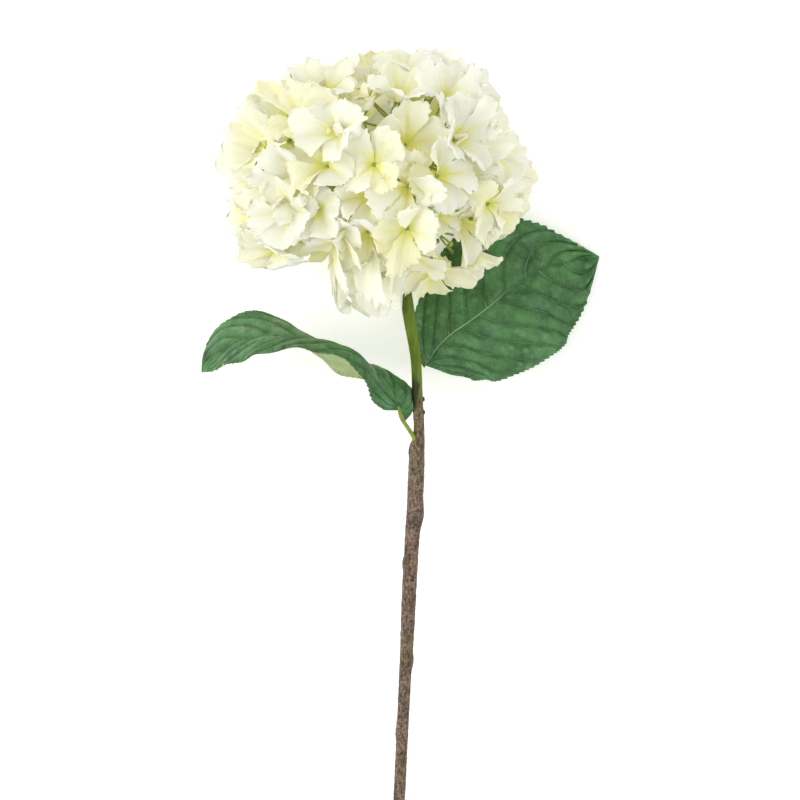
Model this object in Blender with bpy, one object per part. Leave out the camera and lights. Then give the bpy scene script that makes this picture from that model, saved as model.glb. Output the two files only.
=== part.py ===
"""Cut hydrangea with one white mophead and two leaves, lying on a surface.

Metres, +Z up. The stem runs along +Y from its cut end to the flower head, the
surface is at z = 0, and the origin is under the middle of the whole flower.
"""

import math
import random
from dataclasses import dataclass, replace

import bmesh
import bpy
from mathutils import Matrix, Vector
from mathutils.bvhtree import BVHTree

MM = 0.001
GAP = 0.3 * MM

# Stem: places of its centre line and the radius there, from the cut end to the tip
CUT_END = (-5.3, -267.1, 3.5, 3.9)
STEM_PLACES = (
    CUT_END,
    (-3.5, -225.8, 11.0, 3.9),
    (-1.3, -176.9, 18.5, 4.0),
    (0.3, -144.2, 24.0, 4.1),
    (1.8, -113.7, 29.5, 4.5),
    (2.8, -90.1, 33.5, 4.8),
    (4.2, -63.4, 38.0, 4.7),
    (5.2, -46.0, 41.0, 4.9),
    (6.6, -30.2, 44.0, 5.2),
    (7.5, -10.4, 47.5, 5.3),
    (8.0, 4.0, 50.0, 5.1),
    (9.0, 15.0, 52.0, 4.1),
    (9.4, 24.0, 53.8, 3.5),
    (8.4, 42.0, 57.0, 3.5),
    (7.2, 68.6, 61.5, 3.4),
    (2.5, 98.8, 67.0, 4.0),
    (-3.6, 138.4, 74.0, 3.6),
)
STEM_SIDES = 10
STEM_RINGS = 44


@dataclass(frozen=True)
class Bump:
    """A leaf scar, bud or swelling on the stem.

    Its place along Y, its height and its length are in millimetres. Its
    heading about the stem, from +X towards +Z, and its width are in degrees.
    """

    along: float
    heading: float
    height: float
    length: float
    width: float = 50.0


STEM_BUMPS = (
    Bump(34.0, 0.0, 2.0, 3.6),
    Bump(42.5, 0.0, 2.0, 3.6),
    Bump(10.0, 165.0, 1.4, 5.0),
    Bump(-34.0, 10.0, 1.7, 5.0),
    Bump(-66.0, 180.0, 0.9, 4.0),
    Bump(-131.0, 15.0, 1.0, 5.0),
    Bump(-180.0, 200.0, 0.8, 5.0),
)

# Flower head
HEAD_CENTRE = Vector((-18.5, 183.0, 78.0)) * MM
HEAD_REACH = Vector((102.0, 79.0, 82.0)) * MM
HEAD_TILT = math.radians(5.0)
RANDOM_SEED = 41

# Where the head's outline, seen from above, is pressed in or swells: heading from +X and width
# in degrees, and how much it adds to the reach
HEAD_SWELLS = (
    (20, 12, -0.07), (48, 14, 0.05), (105, 22, -0.12), (142, 12, 0.05), (190, 10, -0.06), (235, 13, -0.34),
    (274, 12, 0.14), (291, 9, -0.13), (333, 16, -0.07),
)
NATURAL_REACH = (102.0 * MM, 88.0 * MM)
SEEN_FROM = Vector((-3.0, 42.0, 1502.0)) * MM
SEEN_LEVEL = 80.0 * MM
OUTLINE_START = 0.35
OUTLINE_WHOLE = 0.9
OUTLINE_SOFT = 0.14

# Florets: how deep their eyes lie as a share of the head's reach, and how they vary
FLORET_COUNT = 54
EYE_DEPTH = 0.80
EYE_SCATTER = 0.09
RIM_LIMIT = 0.98
FACING_SCATTER = 0.12
RIM_LIFT = 0.7
RIM_LEVEL = 0.15
RIM_SPAN = 0.75
PLACE_CHOICES = 90
TURN_CHOICES = 9
FLORET_SIZES = (0.9, 1.06)
CUP_SIZES = (0.8, 1.25)
STEM_CLEARANCE = 28.0 * MM
TURN_REFERENCE = Vector((0.31, 0.12, 0.94))

# Petals: their length, and how far they spread and rise from the eye for each length
PETAL_LENGTH = 27.0 * MM
PETAL_THICKNESS = 0.8 * MM
PETAL_SPREAD = 0.88
PETAL_CUP = 0.7
CUP_RISE = 1.25
CUP_EASE = 0.35
TIP_REACH = 0.9

# Eyes of the florets that face up, across and along from the head's centre
UPPER_EYES = (
    (38, 40), (13, 43), (-20, 21), (0, 2), (-63, 15), (-50, -8), (-37, -24), (-54, -24), (21, -10),
    (40, -3), (66, -17), (19, -33), (-2, -60), (38, -56), (-58, 42), (-30, 50), (62, 20), (60, -44),
    (-30, 2), (52, 22),
)

# One petal's outline from the notch before it to the notch after it: reach and angle off its rib
PETAL_OUTLINE = ((0.86, -33), (1.02, 0), (0.86, 33))
NOTCH_REACH = 0.36
RIB_REACH = 0.55

# Branches in the head
BRANCH_COUNT = 9
BRANCH_REACH = 0.42
BRANCH_RADIUS = 2.0 * MM
PEDICEL_RADIUS = 0.9 * MM
PEDICEL_SIDES = 4
BRANCH_SIDES = 5
EYE_RADIUS = 1.7 * MM
EYE_BULGE = 1.0 * MM
EYE_HEIGHT = 2.6 * MM
KNUCKLE_SIZE = 2.2
CROWN_SIZE = 4.0

# Leaves
LEAF_ROWS = 44
LEAF_THICKNESS = 0.8 * MM
TOOTH_DEPTH = 1.5 * MM
TOOTH_LEAN = 0.7
LOBE_PART = 0.2
LOBE_AT_MIDDLE = 0.4
STALK_SIDES = 6
STALK_STEPS = 18
STALK_RADII = (2.0 * MM, 0.6 * MM)
MIDRIB_PLACES = 7
LEAF_MARGIN = 2.0 * MM


@dataclass(frozen=True)
class LeafRow:
    """How the blade lies across its midrib at one place along it.

    Angles are in degrees. The twist turns the whole blade about the midrib,
    and a fold bends the inner or the outer half of one side to the back.
    Widths are in millimetres, from the midrib to the margin.
    """

    place: float
    twist: float
    near_folds: tuple
    far_folds: tuple
    near_width: float
    far_width: float

    def values(self):
        """All but the place, as one vector."""
        return Vector((self.twist, *self.near_folds, *self.far_folds, self.near_width, self.far_width))


@dataclass(frozen=True)
class LeafShape:
    """One leaf: its stalk and midrib in millimetres, and how its blade lies.

    The near side is to the right of the midrib's way on the right leaf, and
    to the left of it on the left leaf: the lower one in both. The near and
    far sides reach back behind the midrib's start by their lobes.
    """

    name: str
    near_turn: int
    stalk: tuple
    lobes_back: tuple
    midrib: tuple
    rows: tuple
    colour: tuple


RIGHT_LEAF = LeafShape(
    name="leaf_right",
    near_turn=-1,
    stalk=((6.6, 73.5, 59.4), (10.8, 71.3, 54.2)),
    lobes_back=(3.0, 0.0),
    midrib=(
        (15.2, 66.7, 55.0), (22.3, 77.3, 48.0), (31.9, 86.3, 40.0), (43.9, 94.6, 32.0), (56.8, 104.5, 25.0),
        (71.7, 117.0, 19.0), (86.6, 127.0, 14.5), (107.6, 134.5, 10.0), (131.2, 138.6, 5.0),
    ),
    rows=(
        LeafRow(0.00, 0, (-5, 10), (-15, 0), 0, 0),
        LeafRow(0.04, 0, (-5, 10), (-15, 0), 19, 15),
        LeafRow(0.10, 0, (-6, 10), (0, 25), 33, 23),
        LeafRow(0.30, 0, (-8, 12), (10, 30), 46, 43),
        LeafRow(0.50, 0, (-8, 10), (8, 25), 53, 53),
        LeafRow(0.65, 0, (-8, 8), (5, 15), 52, 49),
        LeafRow(0.80, 0, (-6, 6), (3, 10), 44, 29.5),
        LeafRow(0.90, 0, (-4, 5), (0, 5), 31, 12),
        LeafRow(1.00, 0, (0, 5), (0, 5), 0, 0),
    ),
    colour=(0.075, 0.14, 0.06, 1.0),
)

LEFT_LEAF = LeafShape(
    name="leaf_left",
    near_turn=1,
    stalk=((8.4, 14.0, 52.0), (2.2, 23.8, 58.0), (-2.4, 31.0, 60.0)),
    lobes_back=(3.0, 11.0),
    midrib=(
        (-4.0, 38.0, 62.0), (-10.0, 50.0, 66.0), (-19.0, 61.0, 68.0), (-34.0, 69.0, 69.0), (-54.0, 77.0, 70.0),
        (-74.0, 82.0, 70.0), (-97.0, 82.0, 68.0), (-116.0, 75.0, 66.0), (-131.5, 60.0, 62.0),
    ),
    rows=(
        LeafRow(0.00, 15, (0, 20), (-30, 0), 0, 0),
        LeafRow(0.04, 20, (0, 25), (-30, 30), 10, 14),
        LeafRow(0.12, 50, (-10, 15), (5, 80), 20, 30),
        LeafRow(0.28, 80, (-25, 20), (15, 40), 38, 40),
        LeafRow(0.48, 78, (-20, 10), (0, 35), 46, 44),
        LeafRow(0.68, 70, (-10, 5), (-10, 5), 42, 42),
        LeafRow(0.84, 63, (-5, 5), (-10, 0), 27, 35),
        LeafRow(0.93, 60, (0, 0), (0, 5), 13, 23),
        LeafRow(1.00, 55, (0, 0), (0, 0), 0, 0),
    ),
    colour=(0.08, 0.15, 0.07, 1.0),
)


def clear_scene():
    """Empties the scene that the script starts in."""
    for item in list(bpy.data.objects):
        bpy.data.objects.remove(item, do_unlink=True)


def add_object(name, mesh_data):
    """Links a new object that holds the bmesh and returns it."""
    bmesh.ops.recalc_face_normals(mesh_data, faces=mesh_data.faces)
    mesh = bpy.data.meshes.new(name)
    mesh_data.to_mesh(mesh)
    mesh_data.free()
    item = bpy.data.objects.new(name, mesh)
    bpy.context.scene.collection.objects.link(item)
    return item


def hide_helper(item):
    """Keeps a cutter or a joined shape out of the finished flower."""
    item.hide_render = True
    item.display_type = "WIRE"


def dress(item, colour, roughness):
    """Gives an object its own plain material."""
    material = bpy.data.materials.new(item.name)
    material.use_nodes = True
    shader = material.node_tree.nodes["Principled BSDF"]
    shader.inputs["Base Color"].default_value = colour
    shader.inputs["Roughness"].default_value = roughness
    shader.inputs["Metallic"].default_value = 0.0
    item.data.materials.clear()
    item.data.materials.append(material)


def curve_between(before, start, end, after, t):
    """Point on the smooth curve from start to end, given the places before and after."""
    return 0.5 * (
        2 * start
        + (end - before) * t
        + (2 * before - 5 * start + 4 * end - after) * t * t
        + (3 * start - before - 3 * end + after) * t ** 3
    )


def along_curve(places, fraction):
    """Point on a smooth curve through the places, at a fraction of the way by their spacing."""
    lengths = [0.0]
    for before, after in zip(places, places[1:]):
        lengths.append(lengths[-1] + (Vector(after[:3]) - Vector(before[:3])).length)
    target = fraction * lengths[-1]
    index = min(max(sum(length <= target for length in lengths) - 1, 0), len(places) - 2)
    t = (target - lengths[index]) / (lengths[index + 1] - lengths[index])
    rows = [places[min(max(index + step, 0), len(places) - 1)] for step in (-1, 0, 1, 2)]
    return curve_between(*(Vector(row) for row in rows), t)


def axes_across(direction, reference):
    """Two unit directions square to the given one, the first nearest the reference."""
    first = (reference - direction * reference.dot(direction)).normalized()
    return first, direction.cross(first)


def lofted(rings, closed_tip=None):
    """Closed bmesh through rings of points, capped flat or drawn to a tip."""
    mesh = bmesh.new()
    loops = [[mesh.verts.new(point) for point in ring] for ring in rings]
    sides = len(loops[0])
    for lower, upper in zip(loops, loops[1:]):
        for index in range(sides):
            after = (index + 1) % sides
            mesh.faces.new((lower[index], lower[after], upper[after], upper[index]))
    mesh.faces.new(loops[0][::-1])
    if closed_tip is None:
        mesh.faces.new(loops[-1])
    else:
        tip = mesh.verts.new(closed_tip)
        for index in range(sides):
            mesh.faces.new((loops[-1][index], loops[-1][(index + 1) % sides], tip))
    return mesh


def ring_points(centre, direction, radius, sides):
    """Points of a ring square to the direction."""
    first, second = axes_across(direction, Vector((0, 0, 1)))
    turn = 2 * math.pi / sides
    return [
        centre + radius * (math.cos(turn * k) * first + math.sin(turn * k) * second) for k in range(sides)
    ]


def bump_height(place_y, heading):
    """Extra radius of the stem at a place along Y, towards a heading about its axis."""
    total = 0.0
    for bump in STEM_BUMPS:
        off_along = (place_y - bump.along) / bump.length
        off_heading = (math.degrees(heading) - bump.heading + 180) % 360 - 180
        total += bump.height * math.exp(-(off_along ** 2) - (off_heading / bump.width) ** 2)
    return total


def stem_mesh(extra):
    """The stem as a loft of rings, with its bumps, and thicker all round by the extra."""
    rings = []
    for index in range(STEM_RINGS + 1):
        fraction = index / STEM_RINGS
        place = along_curve(STEM_PLACES, fraction)
        ahead = along_curve(STEM_PLACES, min(fraction + 0.01, 1.0))
        behind = along_curve(STEM_PLACES, max(fraction - 0.01, 0.0))
        direction = Vector(ahead[:3]) - Vector(behind[:3])
        direction.normalize()
        right, up = axes_across(direction, Vector((1, 0, 0)))
        if up.z < 0:
            up = -up
        centre = Vector(place[:3])
        if index in (0, STEM_RINGS):
            centre += direction * (extra / MM) * (1 if index else -1)
        ring = []
        for side in range(STEM_SIDES):
            heading = 2 * math.pi * side / STEM_SIDES
            radius = place[3] + bump_height(place[1], heading) + extra / MM
            point = centre + radius * (math.cos(heading) * right + math.sin(heading) * up)
            point.z = max(point.z, -extra / MM)
            ring.append(point * MM)
        rings.append(ring)
    return lofted(rings)


def build_stem():
    """The woody stem. Returns the slightly larger copy of it that trims what meets it."""
    stem = add_object("stem", stem_mesh(0.0))
    dress(stem, (0.19, 0.135, 0.085, 1.0), 0.75)
    cutter = add_object("stem_clearance", stem_mesh(GAP))
    hide_helper(cutter)
    return cutter


def row_between(rows, place):
    """The blade's angles and widths at a place, on smooth curves through the rows."""
    index = max(sum(row.place <= place for row in rows) - 1, 0)
    index = min(index, len(rows) - 2)
    t = (place - rows[index].place) / (rows[index + 1].place - rows[index].place)
    around = [rows[min(max(index + step, 0), len(rows) - 1)].values() for step in (-1, 0, 1, 2)]
    values = curve_between(*around, t)
    return [math.radians(angle) for angle in values[:5]], [max(width, 0.0) * MM for width in values[5:]]


def blade_row(shape, place):
    """The midrib and, for each side, the middle and margin of the blade at a place."""
    midrib = along_curve(shape.midrib, place) * MM
    ahead = along_curve(shape.midrib, min(place + 0.03, 1.0))
    behind = along_curve(shape.midrib, max(place - 0.03, 0.0))
    along = (ahead - behind).normalized()
    face, _ = axes_across(along, Vector((0, 0, 1)))
    near = face.cross(along) * shape.near_turn
    (twist, near_inner, near_outer, far_inner, far_outer), widths = row_between(shape.rows, place)
    turned = math.cos(twist) * near + math.sin(twist) * face
    face = math.cos(twist) * face - math.sin(twist) * near
    tooth = TOOTH_DEPTH * min(place / 0.1, (1 - place) / 0.05, 1.0)
    sides = []
    lobe_share = 1.0 - min(place / LOBE_PART, 1.0)
    for way, width, inner, outer, lobe in (
        (1, widths[0], near_inner, near_outer, shape.lobes_back[0]),
        (-1, widths[1], far_inner, far_outer, shape.lobes_back[1]),
    ):
        back = along * lobe * lobe_share * MM
        middle = midrib + 0.5 * width * (way * math.cos(inner) * turned - math.sin(inner) * face)
        across = way * math.cos(outer) * turned - math.sin(outer) * face
        margin = middle + 0.5 * width * across - back
        middle -= back * LOBE_AT_MIDDLE
        notch = margin - across * tooth - along * tooth * TOOTH_LEAN
        sides.append((middle, margin, notch))
    return midrib, sides


def blade_mesh(shape):
    """The blade's middle surface, in triangles, with toothed margins."""
    mesh = bmesh.new()
    start = mesh.verts.new(Vector(shape.midrib[0]) * MM)
    rows = []
    for index in range(1, LEAF_ROWS):
        midrib, sides = blade_row(shape, index / LEAF_ROWS)
        row = []
        for middle, margin, notch in sides:
            row.append((mesh.verts.new(middle), mesh.verts.new(notch if index % 2 else margin)))
        rows.append((mesh.verts.new(midrib), row))
    tip = mesh.verts.new(Vector(shape.midrib[-1]) * MM)
    for side in (0, 1):
        for end, (rib, row) in ((start, rows[0]), (tip, rows[-1])):
            middle, margin = row[side]
            mesh.faces.new((end, rib, middle))
            mesh.faces.new((end, middle, margin))
        for (rib, row), (next_rib, next_row) in zip(rows, rows[1:]):
            middle, margin = row[side]
            next_middle, next_margin = next_row[side]
            mesh.faces.new((rib, next_rib, next_middle))
            mesh.faces.new((rib, next_middle, middle))
            mesh.faces.new((middle, next_middle, next_margin))
            mesh.faces.new((middle, next_margin, margin))
    bmesh.ops.recalc_face_normals(mesh, faces=mesh.faces)
    return mesh


def stalk_mesh(shape):
    """Petiole and midrib as one tapering rod, thickest at the stem."""
    places = shape.stalk + shape.midrib[:MIDRIB_PLACES]
    rings = []
    for index in range(STALK_STEPS + 1):
        fraction = index / STALK_STEPS
        centre = along_curve(places, fraction) * MM
        ahead = along_curve(places, min(fraction + 0.02, 1.0))
        behind = along_curve(places, max(fraction - 0.02, 0.0))
        radius = STALK_RADII[0] + (STALK_RADII[1] - STALK_RADII[0]) * fraction
        rings.append(ring_points(centre, (ahead - behind).normalized(), radius, STALK_SIDES))
    return lofted(rings)


def build_leaf(shape, cutter):
    """A leaf: the thickened blade joined to its stalk, trimmed clear of the stem."""
    leaf = add_object(shape.name, blade_mesh(shape))
    thicken = leaf.modifiers.new("Thickness", "SOLIDIFY")
    thicken.thickness = LEAF_THICKNESS
    thicken.offset = 0.0
    stalk = add_object(shape.name + "_stalk", stalk_mesh(shape))
    hide_helper(stalk)
    join = leaf.modifiers.new("Stalk", "BOOLEAN")
    join.operation = "UNION"
    join.object = stalk
    trim = leaf.modifiers.new("Stem clearance", "BOOLEAN")
    trim.operation = "DIFFERENCE"
    trim.object = cutter
    dress(leaf, shape.colour, 0.5)
    return leaf


@dataclass(frozen=True)
class Floret:
    """Where one floret stands: its eye, the way it faces, its turn, size and cup."""

    eye: Vector
    facing: Vector
    roll: float
    size: float
    cup: float


def head_frame():
    """Rotation from the head's own axes to the scene's."""
    return Matrix.Rotation(HEAD_TILT, 3, "Z")


def eye_towards(direction, depth):
    """Point of the eyes' surface in a direction from the head's centre, in the head's axes."""
    share = Vector(direction[k] / HEAD_REACH[k] for k in range(3)).length
    return direction * (depth / share)


def upper_eye(across, along):
    """Eye in the head's axes for a floret that faces up at a place seen from above."""
    flat = head_frame().inverted() @ Vector((across * MM, along * MM, 0.0))
    share = Vector((flat.x / HEAD_REACH.x, flat.y / HEAD_REACH.y)).length / EYE_DEPTH
    if share >= RIM_LIMIT:
        return flat * (RIM_LIMIT / share)
    flat.z = HEAD_REACH.z * EYE_DEPTH * math.sqrt(1 - share * share)
    return flat


def near_stem(eye):
    """Whether an eye, in the scene's axes, lies too near the stem's line under the head."""
    tip = Vector(STEM_PLACES[-1][:3]) * MM
    low = Vector(STEM_PLACES[-2][:3]) * MM
    axis = (low - tip).normalized()
    off = eye - tip
    down = off.dot(axis)
    return down > 0 and (off - axis * down).length < STEM_CLEARANCE


def opened(facing):
    """Turns a floret of the rim up to the light, as the open ones are."""
    lift = RIM_LIFT * max(0.0, 1.0 - abs(facing.z - RIM_LEVEL) / RIM_SPAN)
    return (facing + Vector((0.0, 0.0, lift))).normalized()


def place_florets():
    """Florets over the whole head: the upper ones by hand, the rest spread evenly."""
    draw = random.Random(RANDOM_SEED)
    turn = head_frame()
    eyes = [upper_eye(*place) for place in UPPER_EYES]
    while len(eyes) < FLORET_COUNT:
        best, best_gap = None, -1.0
        for _ in range(PLACE_CHOICES):
            direction = Vector((draw.gauss(0, 1), draw.gauss(0, 1), draw.gauss(0, 1))).normalized()
            eye = eye_towards(direction, EYE_DEPTH)
            gap = min((eye - other).length for other in eyes)
            if gap > best_gap and not near_stem(HEAD_CENTRE + turn @ eye):
                best, best_gap = eye, gap
        eyes.append(best)
    florets, tips = [], []
    for eye in eyes:
        normal = Vector(eye[k] / HEAD_REACH[k] ** 2 for k in range(3)).normalized()
        lean = Vector((draw.gauss(0, 1), draw.gauss(0, 1), draw.gauss(0, 1))) * FACING_SCATTER
        floret = Floret(
            eye=HEAD_CENTRE + turn @ (eye * (1 + EYE_SCATTER * draw.uniform(-1, 1))),
            facing=opened((turn @ (normal + lean)).normalized()),
            roll=0.0,
            size=draw.uniform(*FLORET_SIZES),
            cup=PETAL_CUP * draw.uniform(*CUP_SIZES),
        )
        floret = turned_clear(floret, tips)
        tips += petal_tips(floret)
        florets.append(floret)
    return florets


def outline_factor(angle):
    """How far the head reaches at an angle in degrees, as a share of its natural reach."""
    factor = 1.0
    for heading, width, amount in HEAD_SWELLS:
        off = (angle - heading + 180) % 360 - 180
        factor += amount * math.exp(-((off / width) ** 2))
    return factor


def in_outline(place):
    """A place in the head, drawn in or out about its middle to suit the outline that is seen from above."""
    shrink = (SEEN_FROM.z - SEEN_LEVEL) / (SEEN_FROM.z - place.z)
    off = SEEN_FROM.xy + (place.xy - SEEN_FROM.xy) * shrink - HEAD_CENTRE.xy
    angle = math.atan2(off.y, off.x)
    factor = outline_factor(math.degrees(angle))
    natural = 1 / math.hypot(math.cos(angle) / NATURAL_REACH[0], math.sin(angle) / NATURAL_REACH[1])
    share = max(off.length / natural, 1e-9)
    rim = min(max((share - OUTLINE_START) / (OUTLINE_WHOLE - OUTLINE_START), 0.0), 1.0)
    moved = share * (1 + (factor - 1) * rim * rim * (3 - 2 * rim))
    soft = OUTLINE_WHOLE * factor
    if moved > soft:
        moved = soft + OUTLINE_SOFT * math.tanh((moved - soft) / OUTLINE_SOFT)
    flat = SEEN_FROM.xy + (HEAD_CENTRE.xy + off * (moved / share) - SEEN_FROM.xy) / shrink
    return Vector((flat.x, flat.y, place.z))


def petal_point(floret, reach, angle):
    """Place on a floret's middle surface, by reach from its eye and angle about it."""
    first, second = axes_across(floret.facing, TURN_REFERENCE)
    spread = PETAL_SPREAD * reach * (math.cos(angle) * first + math.sin(angle) * second)
    rise = floret.cup * (CUP_RISE * reach - CUP_EASE * reach * reach) * floret.facing
    return floret.eye + PETAL_LENGTH * floret.size * (spread + rise)


def petal_tips(floret):
    """Where a floret's four petals end."""
    return [petal_point(floret, TIP_REACH, floret.roll + math.radians(90 * k)) for k in range(4)]


def turned_clear(floret, tips):
    """The floret at the turn that keeps its petals furthest from those placed before."""
    turns = [replace(floret, roll=math.pi / 2 * k / TURN_CHOICES) for k in range(TURN_CHOICES)]

    def clearance(choice):
        """Smallest distance from this choice's petal tips to the others'."""
        return min(((own - other).length for own in petal_tips(choice) for other in tips), default=0.0)

    return max(turns, key=clearance)


def floret_mesh(floret, rest_height):
    """One floret's four petals as a single thin cupped blade with four lobes."""
    mesh = bmesh.new()

    def pair(reach, angle):
        """The blade's two skins at one place: inner side first."""
        place = in_outline(petal_point(floret, reach, angle))
        inner = place + floret.facing * PETAL_THICKNESS / 2
        outer = place - floret.facing * PETAL_THICKNESS / 2
        low = rest_height(place.x, place.y)
        if min(inner.z, outer.z) < low:
            down, up = (inner, outer) if floret.facing.z < 0 else (outer, inner)
            down.z, up.z = low, low + PETAL_THICKNESS
        return mesh.verts.new(inner), mesh.verts.new(outer)

    def skin(*pairs):
        """A triangle on each side of the blade."""
        mesh.faces.new([point[0] for point in pairs])
        mesh.faces.new([point[1] for point in reversed(pairs)])

    centre = pair(0.0, 0.0)
    notches = [pair(NOTCH_REACH, floret.roll + math.radians(90 * k + 45)) for k in range(4)]
    for k in range(4):
        rib_angle = floret.roll + math.radians(90 * k)
        rib = pair(RIB_REACH, rib_angle)
        outline = [pair(reach, rib_angle + math.radians(off)) for reach, off in PETAL_OUTLINE]
        edge = [notches[k - 1], *outline, notches[k]]
        for before, after in zip([centre, *edge], [*edge, centre]):
            skin(rib, before, after)
        for before, after in zip(edge, edge[1:]):
            mesh.faces.new((before[0], before[1], after[1]))
            mesh.faces.new((before[0], after[1], after[0]))
    return mesh


def pedicel_mesh(start, floret):
    """A floret's stalk from its branch, ending in the eye that stands proud of the petals."""
    eye = in_outline(floret.eye)
    axis = (eye - start).normalized()
    rings = [
        ring_points(start, axis, PEDICEL_RADIUS, PEDICEL_SIDES),
        ring_points(eye + axis * EYE_BULGE, axis, EYE_RADIUS, PEDICEL_SIDES),
    ]
    return lofted(rings, closed_tip=eye + axis * EYE_HEIGHT)


def branch_ends():
    """Where the head's branches end, spread evenly about its middle."""
    golden = math.pi * (3 - math.sqrt(5))
    ends = []
    for k in range(BRANCH_COUNT):
        height = 1 - 2 * (k + 0.5) / BRANCH_COUNT
        radius = math.sqrt(1 - height * height)
        direction = Vector((radius * math.cos(golden * k), height, radius * math.sin(golden * k)))
        ends.append(in_outline(HEAD_CENTRE + head_frame() @ eye_towards(direction, BRANCH_REACH)))
    return ends


def branch_mesh(start, end):
    """One branch from the stem's tip to the foot of its florets."""
    axis = (end - start).normalized()
    rings = [
        ring_points(start, axis, BRANCH_RADIUS, BRANCH_SIDES),
        ring_points(end, axis, BRANCH_RADIUS, BRANCH_SIDES),
    ]
    return lofted(rings, closed_tip=end + axis * BRANCH_RADIUS)


def hub_mesh(centre, radius):
    """A small round knuckle where stalks meet."""
    mesh = bmesh.new()
    bmesh.ops.create_icosphere(mesh, subdivisions=1, radius=radius, matrix=Matrix.Translation(centre))
    return mesh


def keep_main_body(item):
    """Fills sealed hollows and drops loose scraps: only the largest shell stays."""
    mesh = bmesh.new()
    mesh.from_mesh(item.data)
    shells, seen = [], set()
    for first in mesh.verts:
        if first in seen:
            continue
        shell, waiting = [], [first]
        seen.add(first)
        while waiting:
            vert = waiting.pop()
            shell.append(vert)
            for edge in vert.link_edges:
                other = edge.other_vert(vert)
                if other not in seen:
                    seen.add(other)
                    waiting.append(other)
        shells.append(shell)
    shells.sort(key=len, reverse=True)
    for shell in shells[1:]:
        bmesh.ops.delete(mesh, geom=shell, context="VERTS")
    bmesh.ops.triangulate(mesh, faces=mesh.faces)
    mesh.to_mesh(item.data)
    mesh.free()


def apply_boolean(item, operation, solver, **operand):
    """Applies one Boolean to an object's mesh."""
    boolean = item.modifiers.new(operation.title(), "BOOLEAN")
    boolean.operation = operation
    boolean.solver = solver
    for key, value in operand.items():
        setattr(boolean, key, value)
    bpy.context.view_layer.objects.active = item
    bpy.ops.object.modifier_apply(modifier=boolean.name)


def resting_on(leaf):
    """How low a petal may lie at any place: on the surface, or on the leaf that is under it."""
    bpy.context.view_layer.update()
    tree = BVHTree.FromObject(leaf, bpy.context.evaluated_depsgraph_get())

    def rest_height(x, y):
        """Lowest height of a petal's underside at a place."""
        around = ((0, 0), (LEAF_MARGIN, 0), (-LEAF_MARGIN, 0), (0, LEAF_MARGIN), (0, -LEAF_MARGIN))
        heights = [0.0]
        for off_x, off_y in around:
            hit = tree.ray_cast(Vector((x + off_x, y + off_y, 1.0)), Vector((0, 0, -1)))[0]
            if hit:
                heights.append(hit.z + LEAF_MARGIN)
        return max(heights)

    return rest_height


def build_head(stem_cutter, rest_height):
    """The flower head: florets on pedicels and branches, joined into one body."""
    florets = place_florets()
    start = Vector(STEM_PLACES[-1][:3]) * MM
    ends = branch_ends()
    shapes = [branch_mesh(start, end) for end in ends]
    shapes += [hub_mesh(end, KNUCKLE_SIZE * BRANCH_RADIUS) for end in ends]
    for floret in florets:
        shapes.append(floret_mesh(floret, rest_height))
        nearest = min(ends, key=lambda end: (end - floret.eye).length)
        shapes.append(pedicel_mesh(nearest, floret))
    collection = bpy.data.collections.new("florets")
    bpy.context.scene.collection.children.link(collection)
    for number, shape in enumerate(shapes):
        item = add_object(f"piece_{number}", shape)
        bpy.context.scene.collection.objects.unlink(item)
        collection.objects.link(item)
    head = add_object("flower_head", hub_mesh(start, CROWN_SIZE * BRANCH_RADIUS))
    apply_boolean(head, "UNION", "MANIFOLD", operand_type="COLLECTION", collection=collection)
    for item in list(collection.objects):
        bpy.data.objects.remove(item, do_unlink=True)
    bpy.data.collections.remove(collection)
    apply_boolean(head, "DIFFERENCE", "MANIFOLD", object=stem_cutter)
    keep_main_body(head)
    dress(head, (0.84, 0.85, 0.72, 1.0), 0.6)
    return head


def main():
    """Builds the stem, both leaves and the head."""
    clear_scene()
    stem_cutter = build_stem()
    right_leaf = build_leaf(RIGHT_LEAF, stem_cutter)
    build_leaf(LEFT_LEAF, stem_cutter)
    build_head(stem_cutter, resting_on(right_leaf))


main()
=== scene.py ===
"""Looks of a cut hydrangea: a white mophead, two leaves and a bark-covered stem, lying on a pale floor."""

import logging
import math
import random
from dataclasses import dataclass, field, replace
from enum import Enum
from typing import Any, Callable, Sequence

import bpy
import numpy as np
from mathutils import Matrix, Vector
from mathutils.bvhtree import BVHTree


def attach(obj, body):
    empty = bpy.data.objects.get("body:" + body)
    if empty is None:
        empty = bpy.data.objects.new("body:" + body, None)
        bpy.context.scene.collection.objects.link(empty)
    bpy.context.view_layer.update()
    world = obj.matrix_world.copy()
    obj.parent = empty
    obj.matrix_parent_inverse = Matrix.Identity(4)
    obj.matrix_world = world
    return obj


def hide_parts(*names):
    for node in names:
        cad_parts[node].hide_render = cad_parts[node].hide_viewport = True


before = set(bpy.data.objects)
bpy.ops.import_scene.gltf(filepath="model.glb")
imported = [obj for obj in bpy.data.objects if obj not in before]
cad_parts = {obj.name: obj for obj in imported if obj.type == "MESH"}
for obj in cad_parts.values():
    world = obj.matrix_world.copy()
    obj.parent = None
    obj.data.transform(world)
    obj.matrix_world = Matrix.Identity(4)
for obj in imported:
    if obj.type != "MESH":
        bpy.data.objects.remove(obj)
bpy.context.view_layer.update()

log = logging.getLogger("hydrangea")

MM = 0.001
Colour = tuple[float, float, float]
Place = tuple[float, float, float]

# The "tint" that a petal's points hold where it is neither warmer nor cooler than the rest
PLAIN_TINT = 0.35
UP = (0.0, 0.0, 1.0)


class Slot(Enum):
    """Material slots that the record names."""

    PETALS = "petals"
    LEAF = "leaf"
    STEM = "stem"


# Shader building


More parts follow.
